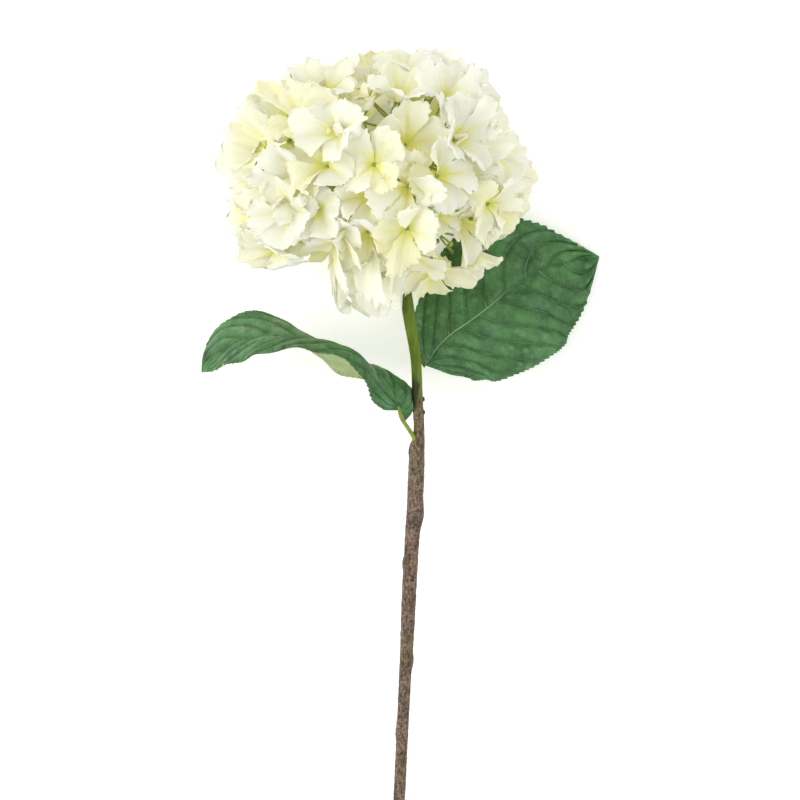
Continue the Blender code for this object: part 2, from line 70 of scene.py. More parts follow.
class Value:
    """A node's output that adds, subtracts and multiplies as a number does."""

    def __init__(self, sheet: "NodeSheet", socket: bpy.types.NodeSocket) -> None:
        """Keeps the output and the sheet that its sums are laid on."""
        self.sheet = sheet
        self.socket = socket

    def __add__(self, other: Any) -> "Value":
        """This value plus another."""
        return self.sheet.math("ADD", self, other)

    def __sub__(self, other: Any) -> "Value":
        """This value less another."""
        return self.sheet.math("SUBTRACT", self, other)

    def __rsub__(self, other: float) -> "Value":
        """A number less this value."""
        return self.sheet.math("SUBTRACT", other, self)

    def __mul__(self, other: Any) -> "Value":
        """This value times another."""
        return self.sheet.math("MULTIPLY", self, other)

    def __pow__(self, power: float) -> "Value":
        """This value to a power."""
        return self.sheet.math("POWER", self, power)

    def __abs__(self) -> "Value":
        """This value without its sign."""
        return self.sheet.math("ABSOLUTE", self)

    def spread(self, low: float, high: float) -> "Value":
        """Smooth step of this value, 0 at the low mark and 1 at the high one."""
        inputs = {"Value": self, "From Min": low, "From Max": high}
        return self.sheet.value("ShaderNodeMapRange", "Result", inputs, interpolation_type="SMOOTHSTEP")


class NodeSheet:
    """One node tree, with short ways to add nodes to it and link them."""

    def __init__(self, tree: bpy.types.NodeTree) -> None:
        """Keeps the material's or group's node tree that the nodes go into."""
        self.tree = tree

    def link(self, value: Value, node: bpy.types.Node, name: Any) -> None:
        """Leads a value into a node's input."""
        self.tree.links.new(value.socket, node.inputs[name])

    def add(self, kind: str, inputs: dict[Any, Any] | None = None, **settings: Any) -> bpy.types.Node:
        """Adds one node.

        Args:
            kind: Blender's name for the node's type.
            inputs: Numbers or values by the input's name or number.
            settings: Properties of the node itself.

        Returns:
            The new node.
        """
        node = self.tree.nodes.new(kind)
        for key, value in settings.items():
            setattr(node, key, value)
        for key, value in (inputs or {}).items():
            if isinstance(value, Value):
                self.link(value, node, key)
            else:
                node.inputs[key].default_value = value
        return node

    def outputs(self, node: bpy.types.Node, *names: Any) -> list[Value]:
        """Some of a node's outputs, as values."""
        return [Value(self, node.outputs[name]) for name in names]

    def value(self, kind: str, output: Any, inputs: dict[Any, Any] | None = None, **settings: Any) -> Value:
        """Adds one node and gives one of its outputs."""
        return self.outputs(self.add(kind, inputs, **settings), output)[0]

    def math(self, operation: str, first: Any, second: Any = 0.0) -> Value:
        """Result of one sum on numbers or values."""
        return self.value("ShaderNodeMath", 0, {0: first, 1: second}, operation=operation)

    def place(self) -> Value:
        """Where a point of the surface lies, in the object's own axes."""
        return self.value("ShaderNodeTexCoord", "Object")

    def chart(self) -> list[Value]:
        """Where a point lies across and along its petal or leaf, each from 0 to 1."""
        chart = self.value("ShaderNodeUVMap", "UV", uv_map="chart")
        return self.outputs(self.add("ShaderNodeSeparateXYZ", {0: chart}), 0, 1)

    def clamped(self, value: Value) -> Value:
        """A value kept from 0 to 1."""
        return self.value("ShaderNodeClamp", 0, {"Value": value})

    def mix(self, share: Value, first: Any, second: Any) -> Value:
        """Blend of two colours by a share of the second."""
        colours = [colour if isinstance(colour, Value) else (*colour, 1.0) for colour in (first, second)]
        return self.value("ShaderNodeMix", 2, {0: share, 6: colours[0], 7: colours[1]}, data_type="RGBA")

    def noise(self, place: Value, scale: Any, detail: float = 3.0, roughness: float = 0.55) -> Value:
        """Soft random value from 0 to 1 over a place."""
        inputs = {"Vector": place, "Scale": scale, "Detail": detail, "Roughness": roughness}
        return self.value("ShaderNodeTexNoise", "Fac", inputs)

    def net(self, place: Value, scale: float, width: float) -> Value:
        """Fine net of lines between cells, 1 on a line and 0 inside a cell."""
        inputs = {"Vector": place, "Scale": scale}
        edge = self.value("ShaderNodeTexVoronoi", "Distance", inputs, feature="DISTANCE_TO_EDGE")
        return 1.0 - edge.spread(0.0, width)

    def stretched(self, place: Value, factors: Sequence[float]) -> Value:
        """A place with each axis scaled, to draw a pattern out."""
        return self.value("ShaderNodeMapping", "Vector", {"Vector": place, "Scale": tuple(factors)})

    def attribute(self, name: str) -> Value:
        """A number that the mesh holds at each point."""
        return self.value("ShaderNodeAttribute", "Fac", attribute_name=name)

    def bump(self, height: Value, distance: float, strength: float, below: Value | None = None) -> Value:
        """Normal with a relief pressed into it, over another normal where one is given."""
        inputs = {"Height": height, "Distance": distance, "Strength": strength}
        if below is not None:
            inputs["Normal"] = below
        return self.value("ShaderNodeBump", "Normal", inputs)

    def mottled(
        self, groups: "SharedGroups", place: Value, scale: float, low: Colour, high: Colour, contrast: float
    ) -> list[Value]:
        """Colour that wanders between two, and its share of the second."""
        inputs = {"Place": place, "Scale": scale, "Low": (*low, 1), "High": (*high, 1), "Contrast": contrast}
        return self.outputs(self.add("ShaderNodeGroup", inputs, node_tree=groups.mottle), "Colour", "Share")

    def grained(self, groups: "SharedGroups", place: Value, scale: float) -> Value:
        """Height of the skin's fine grain."""
        inputs = {"Place": place, "Scale": scale}
        return self.value("ShaderNodeGroup", "Height", inputs, node_tree=groups.grain)


def new_group(name: str, inputs: dict[str, str], outputs: dict[str, str]) -> tuple[NodeSheet, Any, Any]:
    """Starts a shader node group.

    Args:
        name: The group's name.
        inputs: Socket type of each input by name.
        outputs: Socket type of each output by name.

    Returns:
        The sheet, the input node and the output node.
    """
    tree = bpy.data.node_groups.new(name, "ShaderNodeTree")
    for sockets, way in ((inputs, "INPUT"), (outputs, "OUTPUT")):
        for label, kind in sockets.items():
            tree.interface.new_socket(name=label, in_out=way, socket_type=f"NodeSocket{kind}")
    sheet = NodeSheet(tree)
    return sheet, sheet.add("NodeGroupInput"), sheet.add("NodeGroupOutput")


def mottle_group() -> bpy.types.NodeTree:
    """Group that wanders between two colours in blotches, with a finer speckle on top."""
    sheet, given, out = new_group(
        "mottle",
        {"Place": "Vector", "Scale": "Float", "Low": "Color", "High": "Color", "Contrast": "Float"},
        {"Colour": "Color", "Share": "Float"},
    )
    place, scale, low, high, contrast = sheet.outputs(given, "Place", "Scale", "Low", "High", "Contrast")
    broad = sheet.noise(place, scale, 4.0, 0.6)
    fine = sheet.noise(place, scale * 4.3, 3.0, 0.6)
    share = sheet.clamped((broad * 0.7 + fine * 0.3 - 0.5) * contrast + 0.5)
    sheet.link(sheet.mix(share, low, high), out, "Colour")
    sheet.link(share, out, "Share")
    return sheet.tree


def grain_group() -> bpy.types.NodeTree:
    """Group that gives the fine uneven relief of a plant's skin."""
    sheet, given, out = new_group("grain", {"Place": "Vector", "Scale": "Float"}, {"Height": "Float"})
    place, scale = sheet.outputs(given, "Place", "Scale")
    coarse = sheet.noise(place, scale, 2.0, 0.5)
    fine = sheet.noise(place, scale * 3.7, 4.0, 0.65)
    sheet.link(coarse * 0.6 + fine * 0.4, out, "Height")
    return sheet.tree


@dataclass(frozen=True)
class SharedGroups:
    """Node groups that several finishes use."""

    mottle: bpy.types.NodeTree
    grain: bpy.types.NodeTree


def new_material(name: str, **constants: Any) -> tuple[bpy.types.Material, NodeSheet, bpy.types.Node]:
    """Starts a material with one Principled shader.

    Args:
        name: The material's name.
        constants: Inputs that are the same all over, with spaces written as underscores.

    Returns:
        The material, its sheet and its shader.
    """
    material = bpy.data.materials.new(name)
    material.use_nodes = True
    shader = material.node_tree.nodes["Principled BSDF"]
    for key, value in constants.items():
        shader.inputs[key.replace("_", " ")].default_value = value
    return material, NodeSheet(material.node_tree), shader


# Finishes


@dataclass(frozen=True)
class PetalFinish:
    """Ivory petals, yellow-green towards the eye, yellow along the crease (partly their own tint, partly
    painted shade in the fold) and with yellow painted shade deep in the head, lit by a painted glow.
    """

    ivory: Colour = (0.81, 0.81, 0.735)
    shaded_ivory: Colour = (0.775, 0.77, 0.625)
    cream: Colour = (0.80, 0.76, 0.29)
    throat: Colour = (0.60, 0.66, 0.13)
    roughness: float = 0.6
    translucency: float = 0.35
    # Painted glow: the petals give off light of their own, pale at the surface and yellow deep in the head
    painted_glow: float = 0.11
    painted_glow_pale: Colour = (0.96, 0.95, 0.84)
    painted_glow_deep: Colour = (0.95, 0.88, 0.28)
    vein_count: float = 17.0

    def build(self, groups: SharedGroups) -> bpy.types.Material:
        """Makes the petals' material, with the shared node groups."""
        # The emission strength is the petals' painted glow
        material, sheet, shader = new_material(
            "petal", Subsurface_Weight=self.translucency, Subsurface_Scale=0.006,
            Subsurface_Radius=(1.0, 0.97, 0.72), Sheen_Weight=0.12, Specular_IOR_Level=0.3,
            Emission_Strength=self.painted_glow,
        )
        place = sheet.place()
        across, along = sheet.chart()
        wander = sheet.noise(place, 170.0, 2.0)
        reach = along + (wander - 0.5) * 0.3
        throat = 1.0 - reach.spread(0.04, 0.36)
        # Yellowing: towards the eye and by tint it is the petals' own colour; along the crease it is partly
        # their own tint and partly painted shade in the fold; deep in the head it is painted shade
        crease = (1.0 - abs(across - 0.5).spread(0.0, 0.12)) * (1.0 - reach.spread(0.3, 0.95))
        warm_tone_and_painted_shade = throat * 0.95 + crease * 0.6 + sheet.attribute("depth") * 0.6
        warm_tone_and_painted_shade = sheet.clamped(warm_tone_and_painted_shade + (sheet.attribute("tint") - PLAIN_TINT))
        mottle, mottle_share = sheet.mottled(groups, place, 90.0, self.shaded_ivory, self.ivory, 2.2)
        ribs = sheet.math("FRACT", across * self.vein_count + wander * 1.6)
        ribs = abs(ribs - 0.5).spread(0.0, 0.32)
        colour = sheet.mix(warm_tone_and_painted_shade, mottle, self.cream)
        colour = sheet.mix(throat * (throat * 0.8), colour, self.throat)
        faint = (1.0 - ribs) * (1.0 - reach.spread(0.2, 0.9) * 0.7) * 0.3
        sheet.link(sheet.mix(faint, colour, self.throat), shader, "Base Color")
        # Colour of the painted glow: pale at the surface, yellow deep in the head
        painted_glow_colour = sheet.mix(warm_tone_and_painted_shade, self.painted_glow_pale, self.painted_glow_deep)
        sheet.link(sheet.mix(faint, painted_glow_colour, self.throat), shader, "Emission Color")
        crumple = sheet.bump(sheet.grained(groups, place, 260.0), 0.0012, 0.22)
        sheet.link(sheet.bump(ribs, 0.00018, 0.25, crumple), shader, "Normal")
        sheet.link(mottle_share * 0.15 + (self.roughness - 0.07), shader, "Roughness")
        return material


@dataclass(frozen=True)
class VeinPlan:
    """Where a leaf's side veins run: how many, how far they sweep to the tip, and how they curve."""

    count: float = 8.5
    sweep: float = 0.34
    power: float = 1.35
    stagger: float = 0.42

    def off_vein(self, across: np.ndarray, along: np.ndarray) -> np.ndarray:
        """Distance from the nearest side vein, as a share of the space between two.

        Args:
            across: From -1 at one margin through 0 at the midrib to 1 at the other.
            along: From 0 at the base to 1 at the tip.

        Returns:
            0 on a vein and 0.5 half way between two.
        """
        phase = (along - self.sweep * np.abs(across) ** self.power) * self.count + self.stagger * (across > 0)
        return np.abs(phase - np.floor(phase) - 0.5)

    def off_vein_value(self, sheet: NodeSheet, across: Value, along: Value) -> Value:
        """The same distance in a material."""
        phase = (along - abs(across) ** self.power * self.sweep) * self.count
        phase = phase + sheet.math("GREATER_THAN", across, 0.0) * self.stagger
        return abs(sheet.math("FRACT", phase) - 0.5)


@dataclass(frozen=True)
class LeafFinish:
    """One face of a leaf: mottled green with veins in a lighter line, a net between them, painted highlights
    on the puffs and, on the upper face, painted shade in the grooves and broad patches of painted sheen.
    """

    name: str
    dark: Colour
    light: Colour
    vein: Colour
    midrib: Colour
    # Groove colour: painted shade along the veins on the upper face, a lighter vein tone on the underside
    groove_and_painted_shade: Colour
    # Colour of a painted highlight on each puff's crown
    painted_puff_highlight: Colour
    painted_puff_highlight_share: float
    # Broad patches: a painted bluish sheen on the upper face, a yellow-olive tone on the underside
    tone_patch_and_painted_sheen: Colour
    tone_patch_and_painted_sheen_share: float
    groove_and_painted_shade_share: float
    net_share: float
    roughness: float
    gloss: float
    relief: float
    shine_span: float = 0.3

    def build(self, groups: SharedGroups, veins: VeinPlan) -> bpy.types.Material:
        """Makes the face's material.

        Args:
            groups: The shared node groups.
            veins: Where the side veins run.

        Returns:
            The face's material.
        """
        material, sheet, shader = new_material(
            self.name, Specular_IOR_Level=self.gloss, Subsurface_Weight=0.04, Subsurface_Scale=0.002
        )
        place = sheet.place()
        unit_across, along = sheet.chart()
        across = unit_across * 2.0 - 1.0
        outward = abs(across)
        off_vein = veins.off_vein_value(sheet, across, along) + (sheet.noise(place, 260.0, 2.0) - 0.5) * 0.05
        patchy = sheet.noise(place, 60.0, 2.0).spread(0.4, 0.6)
        side_vein = (1.0 - off_vein.spread(0.0, 0.04)) * ((1.0 - outward * 0.45) * patchy)
        # Painted shade along the midrib's groove and the side veins' grooves, on the upper face
        rib_groove = 1.0 - outward.spread(0.008, 0.05)
        groove_and_painted_shade = sheet.math("MAXIMUM", 1.0 - off_vein.spread(0.0, 0.24), rib_groove)
        midrib = (1.0 - outward.spread(0.004, 0.017)) * (1.0 - along.spread(0.3, 0.62))
        net = sheet.net(place, 310.0, 0.13)
        fine_net = sheet.net(place, 820.0, 0.2)
        puffs = sheet.value(
            "ShaderNodeTexVoronoi", "Distance", {"Vector": place, "Scale": 150.0, "Smoothness": 0.6},
            feature="SMOOTH_F1",
        )
        # Painted highlight on the crowns of the puffs between the veins
        painted_crown_highlight = (1.0 - puffs.spread(0.05, 0.6)) * off_vein.spread(0.08, 0.36)
        painted_crown_highlight = painted_crown_highlight * sheet.noise(place, 45.0, 3.0).spread(0.38, 0.66)
        # Mask of the broad patches: painted sheen on the upper face, olive tone on the underside
        tone_patch_and_painted_sheen = sheet.noise(sheet.stretched(place, (1.3, 1.0, 1.0)), 30.0, 4.0, 0.6).spread(0.50, 0.70)
        colour, _ = sheet.mottled(groups, place, 38.0, self.dark, self.light, 4.0)
        for share, over in (
            (tone_patch_and_painted_sheen * self.tone_patch_and_painted_sheen_share, self.tone_patch_and_painted_sheen), (painted_crown_highlight * self.painted_puff_highlight_share, self.painted_puff_highlight),
            (groove_and_painted_shade * self.groove_and_painted_shade_share, self.groove_and_painted_shade), (net * self.net_share, self.vein),
            (fine_net * (self.net_share * 0.4), self.vein), (side_vein * 0.7, self.vein),
            (midrib * 0.85, self.midrib),
        ):
            colour = sheet.mix(share, colour, over)
        sheet.link(colour, shader, "Base Color")
        normal = sheet.bump(sheet.grained(groups, place, 900.0), 0.0002, 0.3)
        normal = sheet.bump(puffs, -self.relief * 5, 0.7, normal)
        normal = sheet.bump(1.0 - net * 0.6 - fine_net * 0.25, self.relief, 0.6, normal)
        sheet.link(normal, shader, "Normal")
        shine = sheet.noise(place, 28.0, 3.0).spread(0.40, 0.62)
        sheet.link(shine * self.shine_span + net * 0.1 + self.roughness, shader, "Roughness")
        return material


@dataclass(frozen=True)
class BarkFinish:
    """Grey-brown bark with flecks and olive patches, green as the young shoot near the head."""

    shadow: Colour = (0.040, 0.024, 0.013)
    bark: Colour = (0.345, 0.245, 0.185)
    pale_fleck: Colour = (0.62, 0.52, 0.45)
    olive: Colour = (0.155, 0.135, 0.035)
    russet: Colour = (0.27, 0.135, 0.10)
    blotch: Colour = (0.018, 0.020, 0.005)
    shoot_dark: Colour = (0.070, 0.125, 0.004)
    shoot_light: Colour = (0.165, 0.235, 0.018)
    cambium: Colour = (0.17, 0.22, 0.05)
    wood: Colour = (0.50, 0.44, 0.26)
    pith: Colour = (0.74, 0.70, 0.55)
    turn_start: float = 39.0 * MM
    turn_end: float = 49.0 * MM

    def build(self, groups: SharedGroups) -> bpy.types.Material:
        """Makes the stem's material, with the shared node groups."""
        material, sheet, shader = new_material("bark", Specular_IOR_Level=0.25)
        place = sheet.place()
        side, along = sheet.outputs(sheet.add("ShaderNodeSeparateXYZ", {0: place}), 0, 1)
        cracks = sheet.noise(sheet.stretched(place, (760.0, 210.0, 760.0)), 1.0, 4.0, 0.62)
        flecks = sheet.noise(sheet.stretched(place, (380.0, 900.0, 380.0)), 1.0, 5.0, 0.7)
        rust = sheet.noise(sheet.stretched(place, (1.0, 0.7, 1.0)), 74.0, 4.0, 0.65).spread(0.50, 0.68)
        low_end = along.spread(-20.0 * MM, 30.0 * MM) * 0.45
        moss = sheet.noise(place, 52.0, 4.0, 0.65).spread(0.47, 0.66) * 0.5 + low_end
        pale = flecks.spread(0.53, 0.72) * (1.0 - low_end)
        shade = sheet.noise(sheet.stretched(place, (1.0, 0.6, 1.0)), 105.0, 2.0)
        colour, _ = sheet.mottled(groups, place, 540.0, self.shadow, self.bark, 3.6)
        for share, over in (
            (rust * 0.55, self.russet), (sheet.math("MINIMUM", moss, 0.8), self.olive),
            (pale * 0.8, self.pale_fleck), (shade.spread(0.50, 0.36) * 0.4, self.shadow),
            (cracks.spread(0.54, 0.36) * 0.8, self.shadow),
        ):
            colour = sheet.mix(share, colour, over)
        drawn_out = sheet.stretched(place, (1.0, 0.1, 1.0))
        shoot, _ = sheet.mottled(groups, drawn_out, 330.0, self.shoot_dark, self.shoot_light, 3.0)
        edge = (sheet.noise(place, 120.0, 3.0) - 0.5) * (22.0 * MM)
        young = (along + edge).spread(self.turn_start, self.turn_end)
        colour = sheet.mix(young, colour, shoot)
        stain = sheet.noise(sheet.stretched(place, (1.0, 0.45, 1.0)), 190.0, 3.0) + (8.6 * MM - side) * 55.0
        above = 1.0 - along.spread(self.turn_end + 2 * MM, self.turn_end + 14 * MM)
        above = above * along.spread(self.turn_start - 6 * MM, self.turn_start + 2 * MM)
        colour = sheet.mix(stain.spread(0.42, 0.62) * above * 0.85, colour, self.blotch)
        cut = sheet.attribute("cut") + (sheet.noise(place, 1400.0, 3.0) - 0.5) * 0.12
        on_cut = sheet.attribute("cut").spread(0.02, 0.06)
        face = sheet.mix(cut.spread(0.12, 0.20), self.cambium, self.wood)
        face = sheet.mix(cut.spread(0.64, 0.72), face, self.pith)
        sheet.link(sheet.mix(on_cut, colour, face), shader, "Base Color")
        old = 1.0 - young * 0.85
        relief = (cracks * 0.6 + pale * 0.35) * old * (1.0 - on_cut)
        sheet.link(sheet.bump(relief, 0.0009, 0.8), shader, "Normal")
        sheet.link(old * 0.35 + 0.45, shader, "Roughness")
        return material


@dataclass(frozen=True)
class StalkFinish:
    """Smooth green skin of pedicels, branches, petioles and eyes."""

    name: str
    dark: Colour
    light: Colour
    roughness: float = 0.5

    def build(self, groups: SharedGroups) -> bpy.types.Material:
        """Makes the stalks' material, with the shared node groups."""
        material, sheet, shader = new_material(
            self.name, Specular_IOR_Level=0.4, Subsurface_Weight=0.1, Subsurface_Scale=0.002
        )
        place = sheet.place()
        colour, share = sheet.mottled(groups, place, 240.0, self.dark, self.light, 2.4)
        sheet.link(colour, shader, "Base Color")
        sheet.link(sheet.bump(sheet.grained(groups, place, 700.0), 0.0003, 0.4), shader, "Normal")
        sheet.link(share * 0.15 + (self.roughness - 0.07), shader, "Roughness")
        return material


# Mesh building


def deselect_all() -> None:
    """Leaves nothing selected, so that the next operator acts only on what it is given."""
    bpy.ops.object.select_all(action="DESELECT")


def make_active(item: bpy.types.Object) -> None:
    """Selects one object alone and makes it the active one."""
    deselect_all()
    item.select_set(True)
    bpy.context.view_layer.objects.active = item


def points_of(item: bpy.types.Object) -> np.ndarray:
    """The places of an object's vertices, one row each."""
    places = np.empty(len(item.data.vertices) * 3)
    item.data.vertices.foreach_get("co", places)
    return places.reshape(-1, 3)


def set_points(item: bpy.types.Object, places: np.ndarray) -> None:
    """Moves an object's vertices to new places."""
    item.data.vertices.foreach_set("co", np.ascontiguousarray(places, np.float64).ravel())
    item.data.update()


def set_attribute(item: bpy.types.Object, name: str, values: np.ndarray) -> None:
    """Stores one number for each vertex under a name that a material reads."""
    layer = item.data.attributes.get(name) or item.data.attributes.new(name, "FLOAT", "POINT")
    layer.data.foreach_set("value", np.ascontiguousarray(values, np.float32))


def unit_grid(name: str, columns: int, rows: int) -> tuple[bpy.types.Object, np.ndarray, np.ndarray]:
    """Adds a flat grid whose chart runs across and along it.

    Args:
        name: Name of the piece.
        columns: Faces across.
        rows: Faces along.

    Returns:
        The object, each vertex's place across from -1 to 1, and along from 0 to 1.
    """
    deselect_all()
    bpy.ops.mesh.primitive_grid_add(x_subdivisions=columns, y_subdivisions=rows, size=2.0)
    item = bpy.context.object
    item.name = item.data.name = name
    item.data.uv_layers[0].name = "chart"
    flat = points_of(item)
    return item, flat[:, 0], (flat[:, 1] + 1) / 2


def edit_whole(item: bpy.types.Object, *operators: Callable[[], Any]) -> None:
    """Runs mesh operators, in order, on everything that an object's mesh has."""
    make_active(item)
    bpy.ops.object.mode_set(mode="EDIT")
    bpy.ops.mesh.select_all(action="SELECT")
    for operator in operators:
        operator()
    bpy.ops.object.mode_set(mode="OBJECT")


def merge_points(distance: float) -> Callable[[], Any]:
    """Operator that merges points which lie within a distance, in metres."""
    return lambda: bpy.ops.mesh.remove_doubles(threshold=distance)


def apply_modifier(item: bpy.types.Object, kind: str, **settings: Any) -> None:
    """Adds a modifier with its settings and applies it."""
    modifier = item.modifiers.new(kind.title(), kind)
    for key, value in settings.items():
        setattr(modifier, key, value)
    make_active(item)
    bpy.ops.object.modifier_apply(modifier=modifier.name)


def joined(items: Sequence[bpy.types.Object], name: str) -> bpy.types.Object:
    """Joins objects into one piece.

    Args:
        items: The objects, the first of which stays.
        name: Name of the piece.

    Returns:
        The joined object.
    """
    deselect_all()
    for item in items:
        item.select_set(True)
    bpy.context.view_layer.objects.active = items[0]
    if len(items) > 1:
        bpy.ops.object.join()
    piece = bpy.context.object
    piece.name = piece.data.name = name
    return piece


def copy_of(model: bpy.types.Object) -> bpy.types.Object:
    """A copy of a modelled shape with its own mesh."""
    twin = model.copy()
    twin.data = model.data.copy()
    bpy.context.scene.collection.objects.link(twin)
    return twin


def discard(item: bpy.types.Object) -> None:
    """Removes a model that was only copied from."""
    bpy.data.objects.remove(item, do_unlink=True)


def smooth(item: bpy.types.Object, angle: float = 60.0) -> None:
    """Shades an object smooth except across sharper angles, in degrees."""
    make_active(item)
    bpy.ops.object.shade_smooth_by_angle(angle=math.radians(angle))


def finish_piece(item: bpy.types.Object, nodes: Sequence[str] = ()) -> bpy.types.Object:
    """Ties a piece to the frame.

    Args:
        item: The finished piece.
        nodes: CAD nodes that it stands for.

    Returns:
        The piece.
    """
    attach(item, "root")
    if nodes:
        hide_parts(*nodes)
    log.info("built %s: %d faces", item.name, len(item.data.polygons))
    return item


def wear(item: bpy.types.Object, *materials: bpy.types.Material) -> None:
    """Gives an object its materials, in the order of its material slots."""
    item.data.materials.clear()
    for material in materials:
        item.data.materials.append(material)


def unit(rows: np.ndarray) -> np.ndarray:
    """Each row at length one."""
    return rows / np.maximum(np.linalg.norm(rows, axis=-1, keepdims=True), 1e-12)


def eased(value: np.ndarray | float, low: float, high: float) -> np.ndarray:
    """Smooth step, 0 at the low mark and 1 at the high one."""
    share = np.clip((np.asarray(value, float) - low) / (high - low), 0.0, 1.0)
    return share * share * (3 - 2 * share)


def curve_between(before: Any, start: Any, end: Any, after: Any, t: float) -> Any:
    """Place on the smooth curve from start to end, given the places before and after."""
    return 0.5 * (
        2 * start
        + (end - before) * t
        + (2 * before - 5 * start + 4 * end - after) * t * t
        + (3 * start - before - 3 * end + after) * t**3
    )


def along_curve(places: np.ndarray, fraction: float) -> np.ndarray:
    """Place on a smooth curve through the places, at a fraction of the way by their spacing.

    Args:
        places: One row a place: its first three numbers are where it lies.
        fraction: From 0 to 1.

    Returns:
        The row at that fraction.
    """
    steps = np.linalg.norm(np.diff(places[:, :3], axis=0), axis=1)
    lengths = np.concatenate([[0.0], np.cumsum(steps)])
    target = fraction * lengths[-1]
    index = min(max(int(np.searchsorted(lengths, target, side="right")) - 1, 0), len(places) - 2)
    t = (target - lengths[index]) / (lengths[index + 1] - lengths[index])
    around = [places[min(max(index + step, 0), len(places) - 1)] for step in (-1, 0, 1, 2)]
    return curve_between(*around, t)


def axes_across(direction: np.ndarray, reference: np.ndarray) -> tuple[np.ndarray, np.ndarray]:
    """Two unit directions square to the given ones, the first nearest the reference."""
    off = np.sum(direction * reference, axis=-1, keepdims=True)
    first = unit(reference - direction * off)
    return first, np.cross(direction, first)


def pole_shares(rows: int) -> np.ndarray:
    """Share of a line's length at each row of a stalk, whose first and last rows are poles."""
    return np.clip((np.arange(rows + 1) - 1) / (rows - 2), 0.0, 1.0)


@dataclass
class TubeModel:
    """A round stalk, modelled once as a rolled grid and bent along any line.

    Its rows run from pole to pole: the first and last close its ends.
    """

    name: str
    sides: int
    rows: int
    item: bpy.types.Object = field(init=False)
    turn: np.ndarray = field(init=False)
    row: np.ndarray = field(init=False)

    def __post_init__(self) -> None:
        """Rolls the grid up and closes its seam and its poles."""
        self.item, across, along = unit_grid(self.name, self.sides, self.rows)
        rolled = np.column_stack([np.cos(across * math.pi), np.sin(across * math.pi), along])
        pole = (along < 1e-6) | (along > 1 - 1e-6)
        rolled[pole, :2] = 0.0
        set_points(self.item, rolled)
        edit_whole(self.item, merge_points(2e-6), bpy.ops.mesh.normals_make_consistent)
        rolled = points_of(self.item)
        self.turn = np.arctan2(rolled[:, 1], rolled[:, 0])
        self.row = np.rint(rolled[:, 2] * self.rows).astype(int)

    def bent(
        self, centres: np.ndarray, radii: np.ndarray, reference: np.ndarray, swell: np.ndarray | None = None
    ) -> bpy.types.Object:
        """A copy of the stalk laid along a line.

        Args:
            centres: A place for each row, the first and last being the poles.
            radii: A radius for each row.
            reference: Direction that turn zero faces.
            swell: Extra radius for each vertex.

        Returns:
            The laid stalk.
        """
        ahead = np.vstack([centres[1:], centres[-1:]])
        behind = np.vstack([centres[:1], centres[:-1]])
        first, second = axes_across(unit(ahead - behind), reference)
        reach = radii[self.row] + (0.0 if swell is None else swell)
        reach = np.where((self.row == 0) | (self.row == self.rows), 0.0, reach)[:, None]
        around = np.cos(self.turn)[:, None] * first[self.row] + np.sin(self.turn)[:, None] * second[self.row]
        twin = copy_of(self.item)
        set_points(twin, centres[self.row] + reach * around)
        return twin


# The stem


@dataclass(frozen=True)
class Bump:
    """A leaf scar, bud or swelling on the stem.

    Its place along Y, its height and its length are in millimetres. Its
    heading about the stem, from +X towards +Z, and its width are in degrees.
    """

    along: float
    heading: float
    height: float
    length: float
    width: float = 50.0


